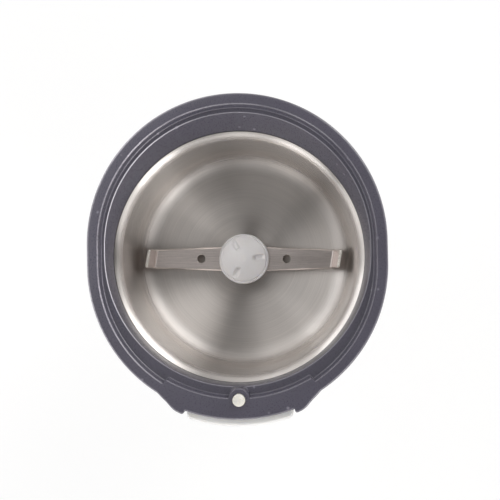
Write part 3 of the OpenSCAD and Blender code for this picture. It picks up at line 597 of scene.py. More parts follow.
def plastic(name, rgb, rough=0.4, fine=2600.0, broad=55.0, depth=6e-6, wear=0.3, worn=1.6, soft=0.0,
            specular=0.5, uneven=0.06):
    """Moulded plastic or rubber: fine skin, slow change of tone, and edges rubbed lighter and smoother."""
    made, tree, shader, where = start_material(name)
    grain = use(tree, grain_group(), Where=where, Fine_scale=fine, Broad_scale=broad)
    edges = use(tree, wear_group(), Where=where, Amount=wear)
    tone = mixed(tree, grain["Broad"], scaled(rgb, 1 - uneven), scaled(rgb, 1 + 0.6 * uneven))
    tone = mixed(tree, spread(tree, grain["Fine"], 0.2, 0.8, 0.0, 0.35), tone, scaled(rgb, 1 - 2.4 * uneven))
    tone = mixed(tree, edges["Mask"], tone, scaled(rgb, worn))
    matt = plus(tree, spread(tree, grain["Fine"], 0.2, 0.8, rough - 0.05, rough + 0.06),
                times(tree, edges["Edge"], -0.06))
    put(tree, shader, Base_Color=tone, Roughness=matt, Specular_IOR_Level=specular,
        Normal=bumped(tree, grain["Fine"], edges["Normal"], depth))
    if soft:
        put(tree, shader, Subsurface_Weight=soft, Subsurface_Radius=(0.002, 0.0018, 0.0015),
            Subsurface_Scale=1.0)
    return made


def metal(name, rgb, rough=0.3, stretch=(900.0, 900.0, 900.0), depth=3e-6, tarnish=0.8):
    """Bare or plated metal: streaks or mottle in its gloss, faint tarnish, and bright edges."""
    made, tree, shader, where = start_material(name)
    marks = use(tree, streaks_group(), Where=where, Stretch=stretch)
    grain = use(tree, grain_group(), Where=where, Fine_scale=1500.0, Broad_scale=120.0)
    edges = use(tree, wear_group(), Where=where, Width=0.0002, Amount=0.25)
    tone = mixed(tree, grain["Broad"], scaled(rgb, tarnish), rgb)
    tone = mixed(tree, edges["Mask"], tone, scaled(rgb, 1.25))
    put(tree, shader, Base_Color=tone, Metallic=1.0,
        Roughness=spread(tree, marks["Fine"], 0.3, 0.7, rough - 0.07, rough + 0.1),
        Normal=bumped(tree, marks["Fine"], edges["Normal"], depth))
    return made


def layered(name, rgb, dark, per_metre, rough=0.4, metallic=1.0, depth=4e-5):
    """Stacked sheets or wound wire: even layers with dark lines between them and a tint of their own."""
    made, tree, shader, where = start_material(name)
    layer = use(tree, layers_group(), Where=where, Per_metre=per_metre)
    grain = use(tree, grain_group(), Where=where, Fine_scale=1800.0, Broad_scale=150.0)
    tone = mixed(tree, layer["Tint"], scaled(rgb, 0.82), rgb)
    tone = mixed(tree, spread(tree, layer["Wave"], 0.15, 0.6), dark, tone)
    tone = mixed(tree, spread(tree, grain["Broad"], 0.0, 1.0, 0.0, 0.3), tone, scaled(rgb, 0.6))
    put(tree, shader, Base_Color=tone, Metallic=metallic,
        Roughness=spread(tree, grain["Fine"], 0.2, 0.8, rough - 0.08, rough + 0.1),
        Normal=bumped(tree, layer["Wave"], None, depth))
    return made


def spun_steel(name, rgb):
    """Spun and brushed steel: fine rings in its gloss and relief, light drawn out across the rings, and
    painted shade on its floor and wall.

    The brushing's tangent is the normal's cross product with the direction round the axis.
    """
    made, tree, shader, where = start_material(name)
    centre = (AXIS[0] * MM, AXIS[1] * MM, 0.0)
    rings = use(tree, rings_group(), Where=where, Centre=centre)
    grain = use(tree, grain_group(), Where=where, Fine_scale=900.0, Broad_scale=45.0)
    out = vector(tree, "MULTIPLY", vector(tree, "SUBTRACT", where, centre), (1.0, 1.0, 0.0))
    about = vector(tree, "CROSS_PRODUCT", (0.0, 0.0, 1.0), vector(tree, "NORMALIZE", out))
    tone = mixed(tree, spread(tree, rings["Fine"], 0.3, 0.7), scaled(rgb, 0.86), scaled(rgb, 1.06))
    tone = mixed(tree, spread(tree, rings["Coarse"], 0.4, 0.7, 0.0, 0.35), tone, scaled(rgb, 0.8))
    tone = mixed(tree, spread(tree, grain["Broad"], 0.0, 1.0, 0.0, 0.25), tone, scaled(rgb, 0.88))
    height = split(tree, where)[2]
    # Painted shade: the floor and the upright wall are painted darker than the fillet and the lip; the floor
    # is also rougher
    wall = times(tree, rising(tree, height, FLOOR_Z, 8, 14, 0.0, 0.42),
                 rising(tree, height, SKIRT_LOW, -5, -3, 1.0, 0.0))
    painted_shade = plus(tree, rising(tree, height, FLOOR_Z, 0.2, 1.2, 0.3, 0.0), wall)
    tone = mixed(tree, painted_shade, tone, scaled(rgb, 0.66))
    matt = plus(tree, rising(tree, height, FLOOR_Z, 0.3, 4, 0.34, 0.235),
                rising(tree, height, SKIRT_LOW, -4, -1, 0.0, 0.05),
                spread(tree, rings["Fine"], 0.3, 0.7, -0.03, 0.05))
    relief = plus(tree, rings["Fine"], times(tree, rings["Coarse"], 1.5))
    put(tree, shader, Base_Color=tone, Metallic=1.0, Roughness=matt, Anisotropic=1.0,
        Tangent=vector(tree, "CROSS_PRODUCT", about, normal(tree)),
        Normal=bumped(tree, relief, None, 3e-6, 0.4))
    return made


def slate_plastic(name, rgb):
    """Dark moulded plastic of the rim: fine grain, painted highlights along its rounded edges, brightest on
    the left, a funnel painted paler as painted light, and small pale nicks.
    """
    made, tree, shader, where = start_material(name)
    grain = use(tree, grain_group(), Where=where, Fine_scale=2300.0, Broad_scale=70.0)
    edges = use(tree, turning_group(), Where=where, Lowest=MM * (LEDGE_Z - 0.42))
    nicks = times(tree, spread(tree, cells(tree, where, 260.0), 0.17, 0.06),
                  spread(tree, noise(tree, where, 75.0, 2.0), 0.54, 0.6))
    tone = mixed(tree, grain["Broad"], scaled(rgb, 0.92), scaled(rgb, 1.08))
    tone = mixed(tree, spread(tree, grain["Fine"], 0.25, 0.75, 0.0, 0.25), tone, scaled(rgb, 0.8))
    # Painted highlights: the mouth's edge, below the ledge, is painted brightest, then the land's edge, and
    # both are painted brighter towards the left
    height = split(tree, where)[2]
    mouth = rising(tree, height, LEDGE_Z, -0.02, -0.08)
    leftward = dot(tree, where, (-0.966, 0.26, 0.0))
    left = spread(tree, leftward, 0.022, 0.041, 0.16, 1.0)
    land_highlight_spread = spread(tree, leftward, 0.012, 0.044, 0.2, 1.0)
    painted_land_highlight = times(tree, edges["Mask"], rising(tree, height, TOP, -0.7, -0.5, 0.45, 0.9), land_highlight_spread)
    # Painted light: the funnel below the ledge is painted a little paler than the land
    funnel = rising(tree, height, LEDGE_Z, -0.5, -0.9)
    funnel_painted_light = mixed(tree, 0.5, tone, (1.14 * rgb[0], 1.16 * rgb[1], 1.14 * rgb[2]))
    tone = mixed(tree, funnel, tone, funnel_painted_light)
    # Painted highlights on the land's edge and, brighter still, on the mouth's edge
    tone = mixed(tree, painted_land_highlight, tone, linear(196, 192, 203))
    tone = mixed(tree, times(tree, mouth, edges["Edge"], left), tone, linear(226, 224, 232))
    tone = mixed(tree, times(tree, nicks, 0.7), tone, linear(186, 182, 194))
    matt = calc(tree, "SUBTRACT", spread(tree, grain["Fine"], 0.2, 0.8, 0.24, 0.34),
                times(tree, edges["Edge"], 0.15))
    put(tree, shader, Base_Color=tone, Roughness=matt, Specular_IOR_Level=0.75,
        Normal=bumped(tree, grain["Fine"], None, 3.5e-6))
    return made


def blade_steel(name, rgb):
    """Stamped and ground blade steel: streaks along the blade, bright sheared edges, scuffs, painted shade on
    the turned-up tips and painted highlights on their ends.
    """
    made, tree, shader, where = start_material(name)
    marks = use(tree, streaks_group(), Where=where, Stretch=(160.0, 5200.0, 3000.0))
    scuff = use(tree, streaks_group(), Where=where, Stretch=(1400.0, 700.0, 900.0))
    edges = use(tree, wear_group(), Where=where, Width=0.00022, Patch_scale=400.0, Amount=0.9)
    tone = mixed(tree, spread(tree, marks["Fine"], 0.35, 0.65), scaled(rgb, 0.84), scaled(rgb, 1.08))
    tone = mixed(tree, spread(tree, scuff["Fine"], 0.55, 0.75, 0.0, 0.35), tone, scaled(rgb, 0.7))
    tone = mixed(tree, edges["Edge"], tone, linear(232, 226, 214))
    # The turned-up tips are ground smoother and painted darker as painted shade; their ends are painted
    # near-white and less metallic as a painted highlight
    height = split(tree, where)[2]
    tip = rising(tree, height, BLADE_Z, 1.9, 2.6)
    end = rising(tree, height, BLADE_Z, 6.5, 6.7)
    tone = mixed(tree, times(tree, tip, 0.6), tone, scaled(rgb, 0.72))
    tone = mixed(tree, end, tone, linear(252, 250, 244))
    matt = calc(tree, "SUBTRACT", spread(tree, marks["Fine"], 0.3, 0.7, 0.3, 0.46), times(tree, tip, 0.12))
    put(tree, shader, Base_Color=tone, Metallic=calc(tree, "SUBTRACT", 1.0, times(tree, end, 0.6)),
        Roughness=matt, Anisotropic=0.35, Normal=bumped(tree, marks["Fine"], edges["Normal"], 4e-6))
    return made


# ---- Pieces ----

class GRINDER_OT_rim(bpy.types.Operator):
    """Build the dark rim with its lid ledge, funnel, front tab and pin boss"""
    bl_idname = "grinder.rim"
    bl_label = "Rim"

    def execute(self, context):
        s, pin_at, lip = sizes("rim"), sizes("button").pin_at, sizes("bowl").lip
        notch = math.degrees(math.asin(s.notch / 2 / s.tab))
        turn = body_turns(notch)
        deg = np.degrees(np.abs(turn))
        in_notch = deg <= notch + 5e-5
        outer = np.where(in_notch, s.tab, self.skirt(s, turn, deg, notch))
        land = self.land(s, turn, deg, pin_at)
        mouth_y, least_ledge, skirt_wall, notch_wall = BODY_Y + 1.7, 0.15, 1.5, 3.6
        mouth = oval_reach(turn, s.width / 2 - s.land - s.ledge, s.mouth_run, mouth_y)
        step_low = np.maximum(land - s.draft, mouth + least_ledge)
        inner = np.where(in_notch, s.tab - notch_wall,
                         oval_reach(turn, s.width / 2 - skirt_wall, s.run, BODY_Y))
        ledge_z = TOP - s.ledge_depth
        plate_z, gasket_z = ledge_z - s.plate, SKIRT_LOW + 0.8
        low = np.where(in_notch, ledge_z, SKIRT_LOW)
        chamfer = np.maximum(np.minimum(land - 0.38, step_low + 0.55), step_low)
        chamfer_z, funnel_wall = TOP - 0.42, 1.4
        corners = [(outer, low), (outer, TOP), (land, TOP), (chamfer, chamfer_z), (step_low, ledge_z),
                   (mouth, ledge_z), (lip, gasket_z), (lip + funnel_wall, gasket_z),
                   (mouth + funnel_wall, plate_z), (inner, plate_z), (inner, low)]
        radii = [0.3, 0.8, 0.22, 0.22, 0.45, 0.5, 0.15, 0.15, 0.3, 0.3, 0.2]
        profile = rounded(carried(corners, turn), radii)
        # Beside the notch the rays bend, so that the notch's sides run straight back and not to the axis
        reach = profile[..., 0]
        fade = 7  # degrees over which the bend dies away on either side
        beside = smooth_step(deg, notch - fade, notch) * (1 - smooth_step(deg, notch + 1e-3, notch + fade))
        straight = np.arcsin(s.notch / 2 / np.clip(reach, 40, s.tab)) - math.radians(notch)
        way = turn[:, None] + (np.sign(turn) * beside)[:, None] * straight * smooth_step(reach, 43, 46)
        grid = np.stack([AXIS[0] + reach * np.sin(way), AXIS[1] - reach * np.cos(way), profile[..., 1]], -1)
        # The tube under the plate guides the pin
        hole, tube, pin_y = 2.15, 3.0, AXIS[1] - pin_at
        low, high = SKIRT_LOW + 1.7, plate_z + 0.2
        guide = turned(np.array([[hole, low], [tube, low], [tube, high], [hole, high]]), 48, pin_y)
        add_piece("rim", [(grid, True, True), (guide, True, True)], "base",
                  slate_plastic("Slate plastic", hue("slate")), "collar",
                  bores=[((0, pin_y, 0), hole, plate_z - 1, TOP + 5)])
        return {"FINISHED"}

    @staticmethod
    def skirt(s, turn, deg, notch):
        """Outline of the skirt: the oval, and the front tab's side beside the notch, with its nub."""
        side = np.array([(17.5, -50.15), (18.1, -50.55), (18.6, -50.5), (20.2, -49.7), (21.2, -48.95),
                         (23.1, -46.75), (26.0, -43.75), (27.6, -42.35)]) + [0, BODY_Y]
        outer = np.maximum(oval_reach(turn, s.width / 2, s.run, BODY_Y), line_reach(turn, side))
        smooth = np.convolve(np.pad(outer, 3, mode="wrap"), np.ones(7) / 7, "valid")
        return np.where((deg > notch + 1.2) & (deg < 36), smooth, outer)

    @staticmethod
    def land(s, turn, deg, pin_at):
        """Inner edge of the land: the oval, stepped in at the tab, and drawn round the pin's boss."""
        half, boss, beyond = s.width / 2 - s.land, 3.35, 99
        land, tab = oval_reach(turn, half, s.run, BODY_Y), half + 0.9
        jog, soft = math.degrees(math.asin(s.tab_width / 2 / tab)), 0.45
        land = land + (np.minimum(tab, land) - land) * smooth_step(-deg, -jog - soft, -jog + soft)
        across = np.maximum(boss ** 2 - (pin_at * np.sin(turn)) ** 2, 0)
        near = np.where((across > 0) & (deg < 10), pin_at * np.cos(turn) - np.sqrt(across), beyond)
        return np.minimum(land, near)


class GRINDER_OT_bowl(bpy.types.Operator):
    """Build the spun steel bowl with its rolled lip"""
    bl_idname = "grinder.bowl"
    bl_label = "Bowl"

    def execute(self, context):
        s = sizes("bowl")
        wall, low = s.lip - s.inset, FLOOR_Z - s.steel
        # Lip: a quarter circle whose centre stands outside the wall, for the steel's upper and under side
        steps = 16
        lift = np.linspace(0, np.pi / 2, steps)[:, None] * [1, 1]
        quarter = np.array([-1, 1]) * np.where([True, False], np.cos(lift), np.sin(lift))
        centre = np.array([wall + s.roll, SKIRT_LOW - s.roll])
        inside, under = centre + s.roll * quarter, centre + (s.roll - s.steel) * quarter
        corners = np.concatenate([[[s.hole, FLOOR_Z], [wall, FLOOR_Z]], inside, under[::-1],
                                  [[wall + s.steel, low], [s.hole, low]]])
        radii = np.concatenate([[0.1, s.fillet], np.zeros(2 * steps), [s.fillet + s.steel, 0.1]])
        profile = rounded(corners, radii, 15)
        profile = profile[np.linalg.norm(profile - np.roll(profile, 1, 0), axis=1) > 1e-4]
        add_piece("steel_bowl", [(turned(profile, 384), True, True)], "base",
                  spun_steel("Spun steel", hue("steel")), "bowl")
        return {"FINISHED"}


class GRINDER_OT_blade(bpy.types.Operator):
    """Build the two-armed blade with its turned-up tips"""
    bl_idname = "grinder.blade"
    bl_label = "Blade"

    def execute(self, context):
        s, settings = sizes("blade"), context.scene.grinder.blade
        bend, round_end = s.bend, 0.85
        reach = bend + math.hypot(s.tip_run, s.tip_rise)
        # Stations along the flat strip, close together at the bends and at the rounded ends
        end = reach - round_end + round_end * np.sin(np.linspace(0, np.pi / 2, 7))
        near = np.concatenate([np.linspace(0, bend - 1.6, 22), np.linspace(bend - 1.4, bend + 1.4, 15),
                               np.linspace(bend + 1.9, reach - 0.9, 6), end])
        u = np.concatenate([-near[:0:-1], near])
        side, far = np.sign(u), np.abs(u)
        past_end = np.maximum(far - reach + round_end, 0) / round_end
        width = np.interp(far, [0, bend], [s.root, s.tip])
        width = width - 2 * round_end * (1 - np.sqrt(np.maximum(1 - past_end ** 2, 0)))
        # Section: a plate with its long edges ground off, as parts of half its width and of its thickness
        plate = np.array([[1, -0.36], [0.96, -0.5], [0, -0.5], [-0.96, -0.5], [-1, -0.36], [-1, 0.34],
                          [-0.89, 0.5], [0, 0.5], [0.89, 0.5], [1, 0.34]])
        v = width[:, None] / 2 * plate[None, :, 0]
        n = s.thick * plate[None, :, 1] * (1 - 0.4 * smooth_step(far, bend, bend + 3))[:, None]
        # The strip is flat, then curves up, then runs straight; its bends and ends lie askew across it
        rise = math.atan2(s.tip_rise, s.tip_run)
        arc = s.bend_radius * rise
        bent = (np.clip(far - (bend - arc / 2), 0, arc) / s.bend_radius)[:, None]
        past = np.maximum(far - (bend + arc / 2), 0)[:, None]
        x = np.minimum(far, bend - arc / 2)[:, None] + s.bend_radius * np.sin(bent) + past * np.cos(rise)
        z = s.bend_radius * (1 - np.cos(bent)) + past * np.sin(rise)
        askew = v * math.tan(settings.skew) * smooth_step(far, bend - 6, bend - 2)[:, None]
        px = side[:, None] * (x - n * np.sin(bent)) + askew
        pz = BLADE_Z + s.thick / 2 + z + n * np.cos(bent)
        cos, sin = math.cos(settings.turn), math.sin(settings.turn)
        grid = np.stack([px * cos - v * sin, AXIS[1] + px * sin + v * cos, pz], -1)
        low, high, shaft = BLADE_Z - 2, BLADE_Z + 5, 2.56
        holes = [((at * cos, AXIS[1] + at * sin, 0), s.hole, low, high) for at in (-s.hole_at, s.hole_at)]
        holes.append(((0, AXIS[1], 0), shaft, low, high))
        add_piece("cutting_blade", [(ends_closed(grid), False, True)], "rotor",
                  blade_steel("Blade steel", hue("blade")), "blade", bores=holes, sharp=20)
        return {"FINISHED"}


class GRINDER_OT_hub_cap(bpy.types.Operator):
    """Build the white hub cap with three radial notches"""
    bl_idname = "grinder.hub_cap"
    bl_label = "Hub cap"

    def execute(self, context):
        s = sizes("blade")
        low, r, turns = BLADE_Z + s.thick, s.hub, 300
        edge, depth = 0.9, 0.9  # height of the cap's upright edge, and depth of its notches
        high, dome = low + s.hub_rise, s.hub_rise - edge
        # Dome: a blunt cone whose height falls with the radius, and an ellipse that rounds its edge
        rows_r = r * np.sin(np.linspace(0, 1, 64) * np.pi / 2)
        part = (rows_r / r) ** 2
        cone, ellipse = np.sqrt(part + 0.01) - 0.1, 1 - np.sqrt(np.maximum(1 - part, 0))
        rows_z = high - dome * (0.72 * cone + 0.3 * ellipse)
        turn = np.linspace(0, 2 * np.pi, turns, endpoint=False)[:, None]
        height = np.broadcast_to(rows_z, (turns, len(rows_z))).copy()
        for notch in np.radians([5, 120, 242]):
            off = (turn - notch + np.pi) % (2 * np.pi) - np.pi
            across, out = np.abs(rows_r * np.sin(off)), rows_r * np.cos(off)
            inside = smooth_step(-across, -1.15, -0.35) * smooth_step(out, 3.0, 4.6)
            height -= depth * (inside * smooth_step(-out, -7.9, -6.6))
        # The gate mark in the middle, and the groove inside the edge
        height -= 0.14 * smooth_step(-rows_r, -1.0, -0.7)
        height -= 0.25 * smooth_step(rows_r, r - 1.05, r - 0.8) * smooth_step(-rows_r, -r + 0.5, -r + 0.75)
        nut_r, nut_z = 4.3, low + 2.3
        side = np.array([[r, low + 0.12], [r - 0.15, low], [nut_r, low], [nut_r, nut_z], [0, nut_z]])
        pr = np.concatenate([rows_r, side[:, 0]])
        pz = np.concatenate([height, np.broadcast_to(side[:, 1], (turns, len(side)))], axis=1)
        grid = np.stack([AXIS[0] + pr * np.cos(turn), AXIS[1] + pr * np.sin(turn), pz], -1)
        add_piece("white_hub_cap", [(grid, True, False)], "rotor",
                  plastic("Cap plastic", hue("cap"), rough=0.3, fine=1500.0, broad=140.0, depth=8e-6,
                          wear=0.2, worn=1.1, soft=0.25, uneven=0.02), "hub_cap", sharp=40)
        return {"FINISHED"}


class GRINDER_OT_pin(bpy.types.Operator):
    """Build the interlock pin with its collar and rod"""
    bl_idname = "grinder.pin"
    bl_label = "Interlock pin"

    def execute(self, context):
        b = sizes("button")
        rod, stop, stop_low = 1.4, 2.7, SKIRT_LOW - 1.0
        low, stop_high = 1000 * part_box("interlock_pin")[0].z, stop_low + 2.4
        corners = np.array([[0, low], [rod, low], [rod, stop_low], [stop, stop_low], [stop, stop_high],
                            [b.pin, stop_high], [b.pin, PIN_TOP - 0.62], [0.7, PIN_TOP - 0.1],
                            [0.45, PIN_TOP - 0.02], [0, PIN_TOP]])
        profile = rounded(corners, [0, 0.3, 0.1, 0.2, 0.2, 0.1, 0.55, 0.4, 0.2, 0])
        add_piece("lock_pin", [(turned(profile, 64, AXIS[1] - b.pin_at), True, True)], "pin",
                  plastic("Pin plastic", hue("pin"), rough=0.32, fine=2400.0, broad=300.0, depth=5e-6,
                          wear=0.2, worn=1.05, soft=0.2), "interlock_pin", sharp=40)
        return {"FINISHED"}


def rounded_block(low, high, r):
    """A box with rounded edges: a sphere's grid whose eight parts are pushed out to the box's corners."""
    low, high = np.array(low, float), np.array(high, float)
    middle, half, steps = (low + high) / 2, (high - low) / 2 - r, 5
    quarter = np.linspace(0, np.pi / 2, steps)
    turn = np.concatenate([quarter + k * np.pi / 2 for k in range(4)])
    lift = np.concatenate([quarter - np.pi / 2, quarter])[:, None]
    ball = np.cos(lift) * np.cos(turn), np.cos(lift) * np.sin(turn), np.sin(lift)
    signs = [np.repeat(side, steps) for side in ([1, -1, -1, 1], [1, 1, -1, -1], [-1, 1])]
    signs[2] = signs[2][:, None]
    ball, signs = (np.stack(np.broadcast_arrays(*parts), -1) for parts in (ball, signs))
    grid = middle + signs * half + r * ball
    poles = [np.broadcast_to([middle[0], middle[1], z], (1, len(turn), 3)) for z in (low[2], high[2])]
    return np.concatenate([poles[0], grid, poles[1]])


class GRINDER_OT_button(bpy.types.Operator):
    """Build the white press button with its ribs, nubs, tail and spring pad"""
    bl_idname = "grinder.button"
    bl_label = "Press button"

    def execute(self, context):
        b = sizes("button")
        half, r_in, edge, wall, top, tall = b.half, b.inner, 1.3, 1.4, TOP - 3.8, 44
        low = top - tall
        # Face: an arc about the axis, drawn in along a quarter circle at its two sides
        side = half - edge * (1 - np.sin(np.linspace(0, np.pi / 2, 9)[1:]))
        near = np.concatenate([np.linspace(0, half - edge, 30), side])
        x = np.concatenate([-near[:0:-1], near])
        inset = edge - np.sqrt(np.maximum(edge ** 2 - np.maximum(np.abs(x) - (half - edge), 0) ** 2, 0))
        corners = [(r_in - wall, low + inset * 0.3), (b.outer - inset, low + inset),
                   (b.outer - inset, top - inset), (r_in, top - inset * 0.3), (r_in, low + 2),
                   (r_in - wall, low + 2)]
        profile = rounded(carried(corners, x), [0.3, 1.2, 1.1, 0.3, 0.2, 0.2], 8)
        y = AXIS[1] - np.sqrt(profile[..., 0] ** 2 - x[:, None] ** 2)
        face = np.stack([np.broadcast_to(x[:, None], y.shape), y, profile[..., 1]], -1)

        def front(reach, across):
            """Y of the arc of this radius at a distance across."""
            return AXIS[1] - math.sqrt(reach ** 2 - across ** 2)

        # Blocks: a rib and a nub on either side, the tail and its foot, and the spring's pad
        pin_y = AXIS[1] - b.pin_at
        back, tail_y = pin_y + 3.1, pin_y - 1.6
        rib = half - 1.6, half - 0.02, (front(r_in + 0.6, half - 1.6) - 1.2, low + 2.2), (back, SKIRT_LOW - 4)
        nub = half - 0.3, half + 1.2, (back - 0.9, low + 8), (back, low + 16)
        blocks = []
        for m in (-1, 1):
            for a, c, start, end in (rib, nub):
                left, right = sorted([m * a, m * c])
                blocks.append(((left, *start), (right, *end), 0.2))
        tail_x, tail_back, pad_x = (6.5, 12.5), tail_y + 1.7, (-12.6, -5.4)
        tail_low, foot_y = 1000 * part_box("power_button")[0].z, front(r_in - 1.0, tail_x[0]) - 1.0
        pad_y, pad_z, pad = front(r_in, pad_x[0]) + 0.4, SKIRT_LOW - 14, 3.6
        blocks += [((tail_x[0], tail_y, tail_low), (tail_x[1], tail_back, low + 2), 0.25),
                   ((tail_x[0], foot_y, low + 0.1), (tail_x[1], tail_back, low + 2), 0.25),
                   ((pad_x[0], pad_y - 3, pad_z - pad), (pad_x[1], pad_y, pad_z + pad), 0.25)]
        add_piece("press_button", [(grid, False, True) for grid in
                                   (ends_closed(face), *(rounded_block(*block) for block in blocks))],
                  "button",
                  plastic("Button plastic", hue("white"), rough=0.34, wear=0.15, worn=1.02, depth=4e-6,
                          soft=0.1, uneven=0.015), "power_button")
        return {"FINISHED"}


def coil(radius, wire, height, turns):
    """A spring of round wire along Z: a helix whose end turns lie flat for 0.6 of a turn.

    The wire's middle goes round at the coil's radius, and climbs evenly between the flat ends. Wire is
    its radius.
    """
    flat = 0.6
    at = np.linspace(0, turns, turns * 24 + 1)[:, None]
    round_wire = np.linspace(0, 2 * np.pi, 10, endpoint=False)
    reach = radius + wire * np.cos(round_wire)
    climb = np.clip((at - flat) / (turns - 2 * flat), 0, 1)
    return ends_closed(np.stack([reach * np.cos(2 * np.pi * at), reach * np.sin(2 * np.pi * at),
                                 wire + (height - 2 * wire) * climb + wire * np.sin(round_wire)], -1))


class GRINDER_OT_springs(bpy.types.Operator):
    """Build the return springs of the button and the pin"""
    bl_idname = "grinder.springs"
    bl_label = "Return springs"

    def execute(self, context):
        steel = metal("Return spring steel", linear(186, 184, 180), rough=0.22,
                      stretch=(500.0, 2500.0, 2500.0))
        low, high = (1000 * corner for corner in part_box("button_spring"))
        run = SPRING_BACK - low.y
        lying = coil(radius=2.6, wire=0.35, height=run, turns=4)
        lying = np.stack([(low.x + high.x) / 2 + lying[..., 0], low.y + lying[..., 2],
                          (low.z + high.z) / 2 - lying[..., 1]], -1)
        button = add_piece("return_spring", [(lying, False, True)], "base", steel,
                           "button_spring")
        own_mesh(button)
        low, high = (1000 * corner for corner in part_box("interlock_spring"))
        run = high.z - low.z
        standing = coil(radius=2.05, wire=0.3, height=run, turns=7)
        standing = standing + [0, AXIS[1] - sizes("button").pin_at, low.z]
        pin = add_piece("pin_spring", [(standing, False, True)], "base", steel,
                        "interlock_spring")
        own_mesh(pin)
        return {"FINISHED"}


# ---- Finishes of the nodes that stay ----

def dress(finish, *names):
    """Gives a finish to the nodes of these names."""
    for name in names:
        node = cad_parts[name]
        if not node.material_slots:
            node.data.materials.append(finish)
        for spot in node.material_slots:
            spot.material = finish


class GRINDER_OT_body_finishes(bpy.types.Operator):
    """Finish the body, its cover, its feet and its seals"""
    bl_idname = "grinder.body_finishes"
    bl_label = "Body finishes"

    def execute(self, context):
        dress(plastic("Body plastic", hue("white"), rough=0.32, broad=30.0, wear=0.12, worn=1.02, depth=3e-6,
                      soft=0.1, uneven=0.02), "housing")
        dress(plastic("Cover plastic", linear(196, 196, 192), rough=0.5, fine=1700.0, depth=1.4e-5),
              "bottom_cover")
        dress(plastic("Carrier plastic", linear(214, 210, 196), rough=0.45, depth=5e-6), "bowl_carrier")
        dress(plastic("Black rubber", linear(44, 44, 46), rough=0.66, fine=1900.0, depth=1.6e-5, wear=0.4,
                      worn=1.9, specular=0.3),
              "feet", "cord_bush", "bowl_gasket", "rubber_mounts", "shaft_seal")
        return {"FINISHED"}


class GRINDER_OT_motor_finishes(bpy.types.Operator):
    """Finish the motor, its bearings, brushes and fasteners"""
    bl_idname = "grinder.motor_finishes"
    bl_label = "Motor finishes"

    def execute(self, context):
        dress(metal("Zinc plate", linear(198, 200, 204), rough=0.28, tarnish=0.85), "cover_screws",
              "carrier_screws", "mount_screws", "motor_bolts", "motor_nuts", "hub_nut", "switch_screws")
        dress(metal("Ground steel", linear(190, 190, 192), rough=0.2, stretch=(300.0, 300.0, 6000.0)),
              "motor_shaft", "blade_spacer")
        dress(metal("Spring steel", linear(186, 184, 180), rough=0.22, stretch=(500.0, 2500.0, 2500.0)),
              "brush_springs", "power_lever", "interlock_lever")
        dress(layered("Lamination steel", linear(128, 128, 132), linear(46, 44, 44), (0.0, 0.0, 2000.0)),
              "armature_core", "stator_core")
        dress(layered("Enamelled wire", linear(178, 96, 52), linear(70, 30, 14), (900.0, 900.0, 1400.0),
                      rough=0.3, metallic=0.7, depth=1e-4), "armature_winding")
        dress(layered("Coil wire", linear(184, 102, 56), linear(74, 32, 16), (0.0, 1700.0, 0.0),
                      rough=0.3, metallic=0.7, depth=1.2e-4), "field_coils")
        dress(metal("Commutator copper", linear(196, 122, 84), stretch=(60.0, 60.0, 5000.0), tarnish=0.6),
              "commutator")
        dress(plastic("Fan plastic", linear(206, 198, 176), rough=0.45), "cooling_fan")
        dress(plastic("Fibre", linear(122, 74, 46), rough=0.7, fine=1400.0, depth=2e-5), "thrust_washers")
        dress(metal("Cast zinc", linear(158, 160, 164), rough=0.46, tarnish=0.75, depth=1.2e-5),
              "upper_bracket", "lower_bracket")
        dress(metal("Sintered bronze", linear(168, 130, 78), rough=0.42, tarnish=0.7, depth=8e-6),
              "upper_bearing", "lower_bearing")
        dress(metal("Brass", linear(206, 168, 92), tarnish=0.75), "brush_holders")
        dress(plastic("Carbon", linear(40, 40, 42), rough=0.6, fine=1800.0, depth=1e-5, worn=2.2),
              "carbon_brushes")
        return {"FINISHED"}


class GRINDER_OT_switch_finishes(bpy.types.Operator):
    """Finish the switches, their bracket, the terminal block and the capacitor"""
    bl_idname = "grinder.switch_finishes"
    bl_label = "Switch finishes"

    def execute(self, context):
        dress(metal("Zinc sheet", linear(176, 180, 184), rough=0.36, stretch=(200.0, 200.0, 3000.0)),
              "switch_bracket")
        dress(plastic("Switch plastic", linear(38, 38, 40), rough=0.42, worn=2.0),
              "power_switch", "interlock_switch")
        dress(plastic("Plunger plastic", linear(176, 44, 36), rough=0.35),
              "power_plunger", "interlock_plunger")
        dress(plastic("Terminal plastic", linear(226, 224, 214)), "terminal_block")
        dress(plastic("Film casing", linear(222, 178, 60), rough=0.28, wear=0.15, worn=1.1),
              "suppression_capacitor")
        return {"FINISHED"}


# ---- Studio ----

HORIZON, ZENITH = 1.5, 0.09
# Soft windows of the room: direction and height in degrees, half size in degrees, brightness
WINDOWS = [(48, 37, 17, 3.2), (330, 37, 15, 1.35), (300, 37, 14, 1.2), (250, 37, 19, 0.75),
           (120, 36, 12, 0.7), (122, 60, 10, 1.6), (170, 61, 11, 0.9), (55, 60, 9, 0.8), (-32, 60, 11, 0.3),
           (180, 79, 8, 0.6), (190, 38, 14, 1.15), (95, 37, 13, 0.8), (20, 37, 10, 1.0), (-46, 33, 10, 1.4),
           (270, 9, 13, 1.2), (-50, 15, 11, 4.0), (-18, 13, 12, 0.8), (18, 13, 10, 0.6), (47, 14, 12, 2.6),
           (232, 14, 13, 2.5), (200, 13, 12, 1.0)]


